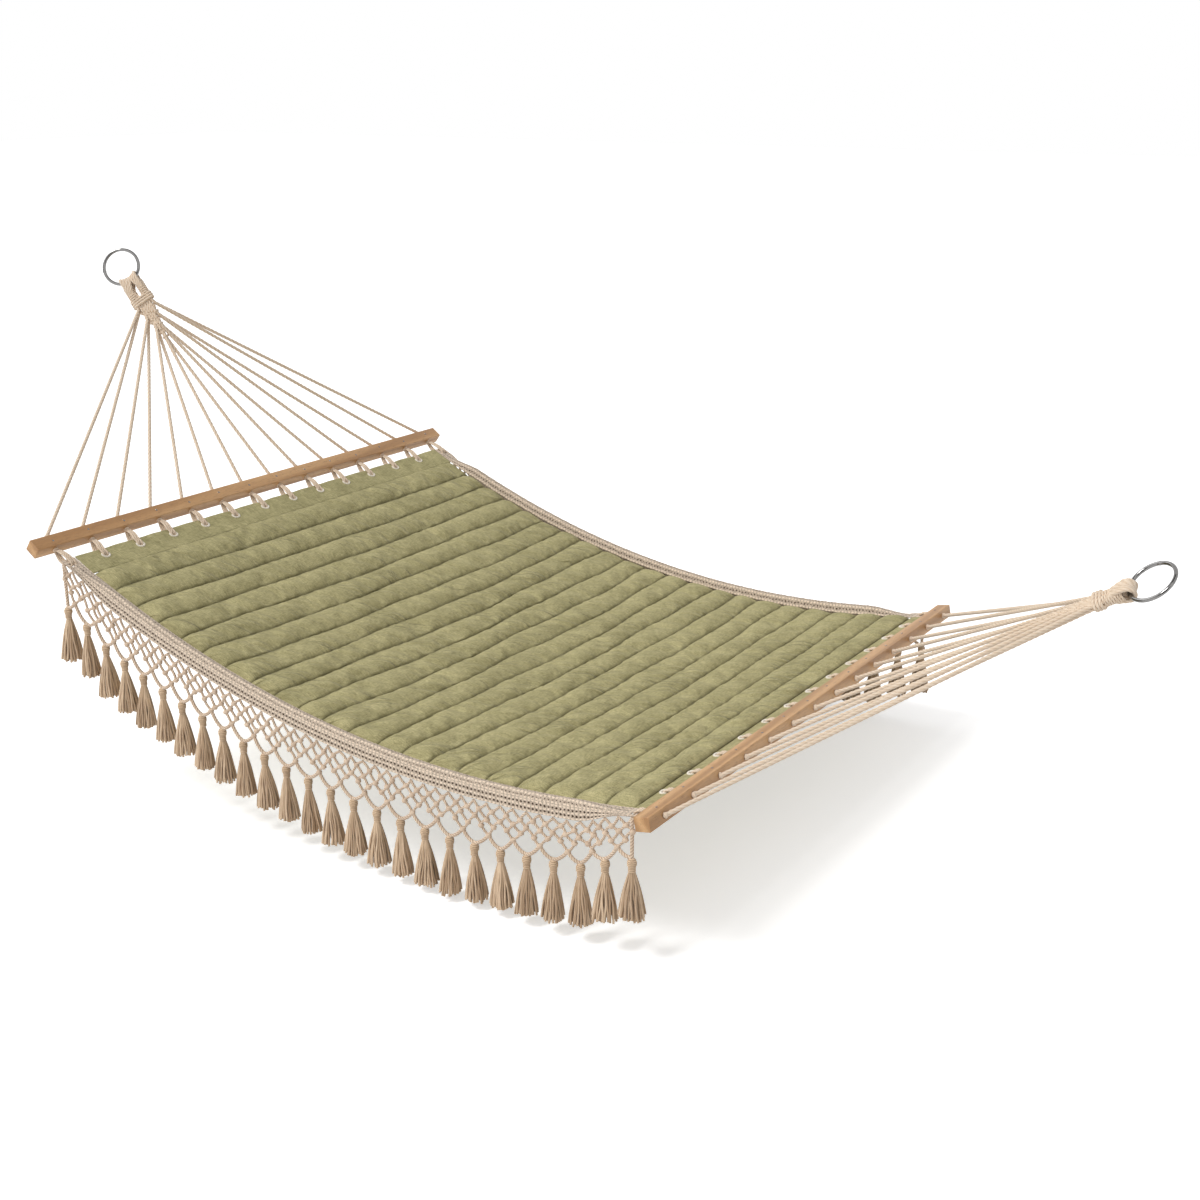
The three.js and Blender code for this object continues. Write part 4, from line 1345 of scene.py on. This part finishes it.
def crochet_finish():
    """Ecru cotton crochet with painted light and shade: pale on the knobs, painted shade between the
    stitches and near black in the pits.
    """
    material, tree, shader = new_finish("crochet_cotton", {
        "Roughness": 0.92, "Specular IOR Level": 0.2, "Sheen Weight": 0.2, "Sheen Roughness": 0.6,
    })
    where = node(tree, "ShaderNodeTexCoord")
    raised = node(tree, "ShaderNodeAttribute", attribute_name="stitch")
    fuzz = node(tree, "ShaderNodeTexNoise", {
        "Vector": where.outputs["Object"], "Scale": 900, "Detail": 4, "Roughness": 0.7,
    })
    loops = node(tree, "ShaderNodeTexNoise", {
        "Vector": where.outputs["Object"], "Scale": 330, "Detail": 2, "Roughness": 0.6,
    })
    speckle = maths(tree, "ADD", loops.outputs["Fac"], fuzz.outputs["Fac"])
    share = maths(tree, "MULTIPLY_ADD", raised.outputs["Fac"], 1.1, speckle)
    part = node(tree, "ShaderNodeMapRange", {"Value": share, "From Min": 1.16, "From Max": 1.98})
    # painted shade: the pits' floors are near black, the knobs pale
    colour = node(tree, "ShaderNodeMix", {
        "Factor": part, 6: (0.062, 0.034, 0.018, 1), 7: (0.90, 0.74, 0.58, 1),
    }, data_type="RGBA")
    bump = node(tree, "ShaderNodeBump", {
        "Height": fuzz.outputs["Fac"], "Strength": 0.6, "Distance": 0.0008,
    })
    tree.links.new(colour.outputs[2], shader.inputs["Base Color"])
    tree.links.new(bump.outputs[0], shader.inputs["Normal"])
    return material


band_width = {}
for side, rise in band_rise.items():
    band_width[side] = math.hypot(band_reach / 2, rise) + band_reach / 2
    band_width[side] += math.hypot(band_splay, rise + band_hang)

crochet = crochet_finish()
for name, side in (("near", -1), ("far", 1)):
    band = add_piece(f"{name}_crochet_band", crochet_mesh(f"{name}_crochet_band", side), crochet, "bed")
    rounded_off(band)
    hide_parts(f"{name}_side_band")

# Knotted net
# Under each band hangs a net of thin cords, knotted in small diamonds. Its lowest row is
# of thicker cords, which come together over the tassels.

tassels = 26
net_inset = 0.010
net_drop = 0.093
net_rows = 4
mesh_drop = 0.0168
net_longer = 1.07  # the net's depth at the head end, by its depth at mid-length
net_shorter = 0.84  # and at the foot end
net_radius = 0.0030
swag_radius = 0.0039
net_knot = 0.0059
net_jog = 0.0028  # how far a knot may sit from its even place
tassel_start = pad_start["head"] + net_inset
tassel_end = bed.length - pad_start["foot"] - net_inset
tassel_pitch = (tassel_end - tassel_start) / (tassels - 1)


def net_place(side, along, drop, depth=0.0):
    """A point of the net's hanging plane, below the band's lower edge."""
    out, down = band_line(side, along, 1.0)
    top = bed.at(along, 0, down - band_thickness / 2)
    stretch = np.interp(along, (0, 0.45, bed.length - 0.45, bed.length), (net_longer, 1, 1, net_shorter))
    drop = min(drop, net_drop) * stretch + max(drop - net_drop, 0)
    return Vector((top[0], side * (band_edge + out + depth), top[2] - drop))


def net_lines(side):
    """The thin strands, the thick ones at the bottom, and the knots, with a little slack."""
    random = np.random.default_rng(21 if side < 0 else 22)
    pitch = tassel_pitch / 2
    spots = {}
    for row in range(net_rows + 1):
        count = 2 * (tassels - 1) + (0 if row % 2 else 1)
        for n in range(count):
            along = tassel_start + (n + (0.5 if row % 2 else 0)) * pitch
            jog = random.uniform(-1, 1, 3) * (0.0 if row == 0 else net_jog)
            drop = max(row * mesh_drop, 0.0006) + jog[1]
            # over each tassel the lowest knot is left out, and a larger opening stays
            if row < net_rows or n % 2:
                spots[row, n] = net_place(side, along + jog[0], drop, jog[2] * 0.6)
    thin, thick, knots = [], [], []
    for (row, n), place in spots.items():
        if row:
            knots.append((place, Vector((0, 0, 1))))
        if row == net_rows:
            continue
        shift = 0 if row % 2 else -1
        for step in (0, 1):
            other = spots.get((row + 1, n + shift + step))
            if other is None:
                continue
            slack = (other - place).length * random.uniform(-0.16, 0.16)
            bow = Vector((slack, side * 0.0008, abs(slack) * 0.4))
            middle = place.lerp(other, 0.5) + bow
            thin.append([place, place.lerp(middle, 0.5) + bow * 0.25, middle,
                         middle.lerp(other, 0.5) + bow * 0.25, other])
    for n in range(tassels):
        head = net_place(side, tassel_start + n * tassel_pitch, net_drop)
        for step in (-1, 1):
            upper = spots.get((net_rows, 2 * n + step))
            if upper is None:
                continue
            sag = Vector((0, side * 0.0012, -0.0035))
            thick.append([
                upper, upper.lerp(head, 0.35) + sag, upper.lerp(head, 0.7) + sag * 0.8,
                head + Vector((0, 0, 0.002)),
            ])
    ends_at = [net_place(side, tassel_start + n * tassel_pitch, net_drop) for n in (0, tassels - 1)]
    tops = [net_place(side, tassel_start + n * tassel_pitch, 0.0006) for n in (0, tassels - 1)]
    thick += [[top, top.lerp(low, 0.5), low] for top, low in zip(tops, ends_at)]
    return thin, thick, knots


# the second colour is the painted shade in the grooves between the net cords' plies
fringe_finish = cotton_finish("fringe_cotton", (0.95, 0.78, 0.61), (0.42, 0.28, 0.18))
for name, side in (("near", -1), ("far", 1)):
    thin, thick, knots = net_lines(side)
    net = grown(
        f"{name}_net", lines_mesh("net", thin), twisted_cord,
        radius=net_radius, lay=0.016, step=0.0036, finish=fringe_finish,
    )
    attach(net, "bed")
    swags = grown(
        f"{name}_net_swags", lines_mesh("swags", [rounded(line, 0.01) for line in thick]),
        twisted_cord, radius=swag_radius, lay=0.019, step=0.0032, finish=fringe_finish,
    )
    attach(swags, "bed")
    tied = knot_mesh(f"{name}_net_knots", knots, net_knot, 7)
    tied = add_piece(f"{name}_net_knots", tied, fringe_finish, "bed")

# Tassels
# A tassel hangs from each point of the net: a hank of soft cords bound with yarn into a
# round head and a narrow neck, below which the cords spread.

tassel_length = 0.116
head_radius = 0.0090
head_length = 0.027
neck_radius = 0.0064
skirt_radius = 0.0238
strand_radius = 0.0020


def tassel_head_tree():
    """A bound head on each point: a profile of yarn turns, spun round the upright."""
    tree, given = new_tree("tassel_heads", ["Radius", "Neck", "Length", "Turns"])
    line = node(tree, "GeometryNodeCurvePrimitiveLine", {"Start": (0, 0, 0), "End": (0, 0, -1)})
    even = node(tree, "GeometryNodeResampleCurve", {"Curve": line, "Count": 56})
    place = node(tree, "GeometryNodeSplineParameter")
    # the head is a ball over three quarters of its length and then the neck's binding
    ball = node(tree, "ShaderNodeMapRange", {
        "Value": place.outputs["Factor"], "From Min": 0.0, "From Max": 0.80,
    })
    arch = maths(tree, "MULTIPLY", ball, math.pi)
    arch = maths(tree, "SINE", arch)
    arch = maths(tree, "POWER", arch, 0.36)
    round_part = maths(tree, "MULTIPLY", arch, given.outputs["Radius"])
    below = node(tree, "ShaderNodeMapRange", {
        "Value": place.outputs["Factor"], "From Min": 0.45, "From Max": 0.62,
    })
    neck = maths(tree, "MULTIPLY", below, given.outputs["Neck"])
    wide = maths(tree, "MAXIMUM", round_part, neck)
    turns = maths(tree, "MULTIPLY", place.outputs["Factor"], given.outputs["Turns"])
    turns = maths(tree, "MULTIPLY", turns, math.pi)
    ridge = maths(tree, "SINE", turns)
    ridge = maths(tree, "ABSOLUTE", ridge)
    ridged = maths(tree, "MULTIPLY_ADD", ridge, 0.20, 0.84)
    wide = maths(tree, "MULTIPLY", wide, ridged)
    wide = maths(tree, "MAXIMUM", wide, 0.0008)
    # painted shade: the grooves between the turns get a low ply value, which the finish paints dark
    groove = maths(tree, "MULTIPLY_ADD", ridge, 1.9, -1.2)
    marked = node(tree, "GeometryNodeStoreNamedAttribute", {
        "Geometry": even, "Name": "ply", "Value": groove,
    }, data_type="FLOAT", domain="POINT")
    section = node(tree, "GeometryNodeCurvePrimitiveCircle", {"Resolution": 14, "Radius": 1.0})
    spun = node(tree, "GeometryNodeCurveToMesh", {
        "Curve": marked, "Profile Curve": section, "Scale": wide,
        "Fill Caps": True,
    })
    size = node(tree, "ShaderNodeCombineXYZ", {"X": 1, "Y": 1, "Z": given.outputs["Length"]})
    tall = node(tree, "GeometryNodeTransform", {"Geometry": spun, "Scale": size})
    turn = node(tree, "FunctionNodeRandomValue", {
        "Min": (-0.05, -0.05, 0), "Max": (0.05, 0.05, 6.28), "Seed": 4,
    }, data_type="FLOAT_VECTOR")
    put = node(tree, "GeometryNodeInstanceOnPoints", {
        "Points": given.outputs["Geometry"], "Instance": tall,
        "Rotation": turn,
    })
    return close_tree(tree, given, put)


def strand_lines(side, seed):
    """The loose cords of every tassel, each with its own wave, spread and length."""
    random = np.random.default_rng(seed)
    lines = []
    for n in range(tassels):
        top = net_place(side, tassel_start + n * tassel_pitch, net_drop + head_length * 0.86)
        fall = tassel_length - head_length * 0.86
        lean = random.uniform(-0.03, 0.03, 2)
        fuller = random.uniform(0.9, 1.07)
        for ring, count in ((1.0, 25), (0.76, 18), (0.46, 9)):
            for k in range(count):
                angle = 2 * math.pi * (k + random.uniform(-0.25, 0.25)) / count + ring
                reach = fall * random.uniform(0.95, 1.03) * (1.0 if ring > 0.9 else 1.02)
                spread = skirt_radius * fuller * ring * random.uniform(0.86, 1.05)
                wave, phase = random.uniform(0.0005, 0.0013), random.uniform(0, 6.3)
                line = []
                for step in range(8):
                    t = step / 7
                    out = neck_radius * ring * 0.8 + (spread - neck_radius * ring * 0.8) * (
                        0.55 * t + 0.45 * (1 - (1 - t) ** 2)
                    )
                    out -= strand_radius * 0.6
                    sway = wave * math.sin(phase + 7 * t) * min(1, 3 * t)
                    turned = angle + sway / max(out, 0.004) * 1.6
                    line.append(top + Vector((
                        out * math.cos(turned) + lean[0] * t * fall,
                        out * math.sin(turned) + lean[1] * t * fall,
                        -reach * t,
                    )))
                lines.append(line)
    return lines


def tassel_strand_tree():
    """A soft cord along each line, a little thicker towards its end."""
    tree, given = new_tree("tassel_strands", ["Radius", "Swell"])
    line = node(tree, "GeometryNodeMeshToCurve", {"Mesh": given.outputs["Geometry"]})
    place = node(tree, "GeometryNodeSplineParameter")
    thick = maths(tree, "MULTIPLY_ADD", place.outputs["Factor"], given.outputs["Swell"], 0.85)
    # each cord has its own tone
    index = node(tree, "GeometryNodeInputIndex")
    which = node(tree, "GeometryNodeFieldOnDomain", {
        "Value": index,
    }, data_type="INT", domain="CURVE")
    tone = node(tree, "FunctionNodeRandomValue", {"ID": which, "Seed": 8}, data_type="FLOAT")
    tone = node(tree, "ShaderNodeMapRange", {
        "Value": tone.outputs[1], "To Min": -0.75, "To Max": 0.75,
    })
    toned = node(tree, "GeometryNodeStoreNamedAttribute", {
        "Geometry": line, "Name": "ply", "Value": tone,
    }, data_type="FLOAT", domain="POINT")
    section = node(tree, "GeometryNodeCurvePrimitiveCircle", {
        "Resolution": 5, "Radius": given.outputs["Radius"],
    })
    tube = node(tree, "GeometryNodeCurveToMesh", {
        "Curve": toned, "Profile Curve": section, "Scale": thick,
        "Fill Caps": True,
    })
    return close_tree(tree, given, tube)


tassel_heads = tassel_head_tree()
tassel_strands = tassel_strand_tree()
# the second colour is the painted shade in the heads' grooves and the darker end of the strands' random
# tones
tassel_finish = cotton_finish("tassel_cotton", (0.86, 0.66, 0.46), (0.36, 0.23, 0.13), fibre=1100)
for name, side, seed in (("near", -1, 31), ("far", 1, 32)):
    tops = [
        net_place(side, tassel_start + n * tassel_pitch, net_drop - 0.002) for n in range(tassels)
    ]
    heads = grown(
        f"{name}_tassel_heads", points_mesh("heads", tops), tassel_heads,
        radius=head_radius, neck=neck_radius * 1.12, length=head_length, turns=8,
        finish=tassel_finish,
    )
    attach(heads, "bed")
    skirts = grown(
        f"{name}_tassels", lines_mesh("strands", strand_lines(side, seed)), tassel_strands,
        radius=strand_radius, swell=0.3, finish=tassel_finish,
    )
    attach(skirts, "bed")
    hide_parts(f"{name}_fringe")

# The pale room
# A white floor under the tassels keeps a soft shadow, and the lamps light from above left.

floor_gap = 0.012
floor_lift = 0.49  # how brightly the floor shows of itself, which keeps its shadow soft
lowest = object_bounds()[0][2]


def seen_directly(tree):
    """1 where the camera looks, by itself or in polished or clear pieces, and otherwise 0."""
    path = node(tree, "ShaderNodeLightPath")
    seen = maths(tree, "MAXIMUM", path.outputs["Is Camera Ray"], path.outputs["Is Glossy Ray"])
    return maths(tree, "MAXIMUM", seen, path.outputs["Is Transmission Ray"])


def pale_floor():
    material = bpy.data.materials.new("pale_floor")
    material.use_nodes = True
    tree = material.node_tree
    tree.nodes.clear()
    matt = node(tree, "ShaderNodeBsdfDiffuse", {"Color": (0.90, 0.90, 0.90, 1)})
    lift = maths(tree, "MULTIPLY", seen_directly(tree), floor_lift)
    glow = node(tree, "ShaderNodeEmission", {"Strength": lift})
    both = node(tree, "ShaderNodeAddShader", {0: matt, 1: glow})
    out = node(tree, "ShaderNodeOutputMaterial")
    tree.links.new(both.outputs[0], out.inputs[0])
    return material


floor_mesh = bpy.data.meshes.new("floor")
reach = 30
level = lowest - floor_gap
floor_mesh.from_pydata(
    [(-reach, -reach, level), (reach, -reach, level), (reach, reach, level), (-reach, reach, level)],
    [], [(0, 1, 2, 3)],
)
floor_mesh.materials.append(pale_floor())
floor = placed("floor", floor_mesh)

# dark cards stand beyond the picture, and only polished metal mirrors them
cards = {
    "card_front": (camera_place + back * 3.0, 3.8), "card_left": ((-5.5, -1.5, 0.8), 3.0),
    "card_above": ((1.2, 0.0, 6.0), 2.4),
}
for name, (place, size) in cards.items():
    card_mesh = bpy.data.meshes.new(name)
    toward = (Vector((1.2, 0.0, -0.6)) - Vector(place)).to_track_quat("Z", "Y").to_matrix()
    corners = [toward @ Vector((a * size, b * size * 0.6, 0)) + Vector(place)
               for a, b in ((-1, -1), (1, -1), (1, 1), (-1, 1))]
    card_mesh.from_pydata([tuple(corner) for corner in corners], [], [(0, 1, 2, 3)])
    card_mesh.materials.append(new_finish(name, {"Base Color": (0.01, 0.01, 0.01, 1)})[0])
    card = placed(name, card_mesh)
    card.visible_camera = False
    card.visible_diffuse = False
    card.visible_shadow = False

room_light = 0.40
world = bpy.data.worlds.new("room")
bpy.context.scene.world = world
world.use_nodes = True
tree = world.node_tree
tree.nodes.clear()
strength = node(tree, "ShaderNodeMapRange", {
    "Value": seen_directly(tree), "To Min": room_light, "To Max": 1.0,
})
sky = node(tree, "ShaderNodeBackground", {"Color": (1, 1, 1, 1), "Strength": strength})
out = node(tree, "ShaderNodeOutputWorld")
tree.links.new(sky.outputs[0], out.inputs[0])

lamps = {
    "window": (1.58, 16, (-0.30, -0.50, 0.81)), "side": (0.65, 40, (-0.85, -0.10, 0.50)),
    "fill": (0.45, 80, (0.42, -0.80, 0.42)),
}
for name, (energy, width, toward) in lamps.items():
    light = bpy.data.lights.new(name, "SUN")
    light.energy = energy
    light.angle = math.radians(width)
    lamp = placed(name, light)
    lamp.rotation_euler = Vector(toward).to_track_quat("Z", "Y").to_euler()
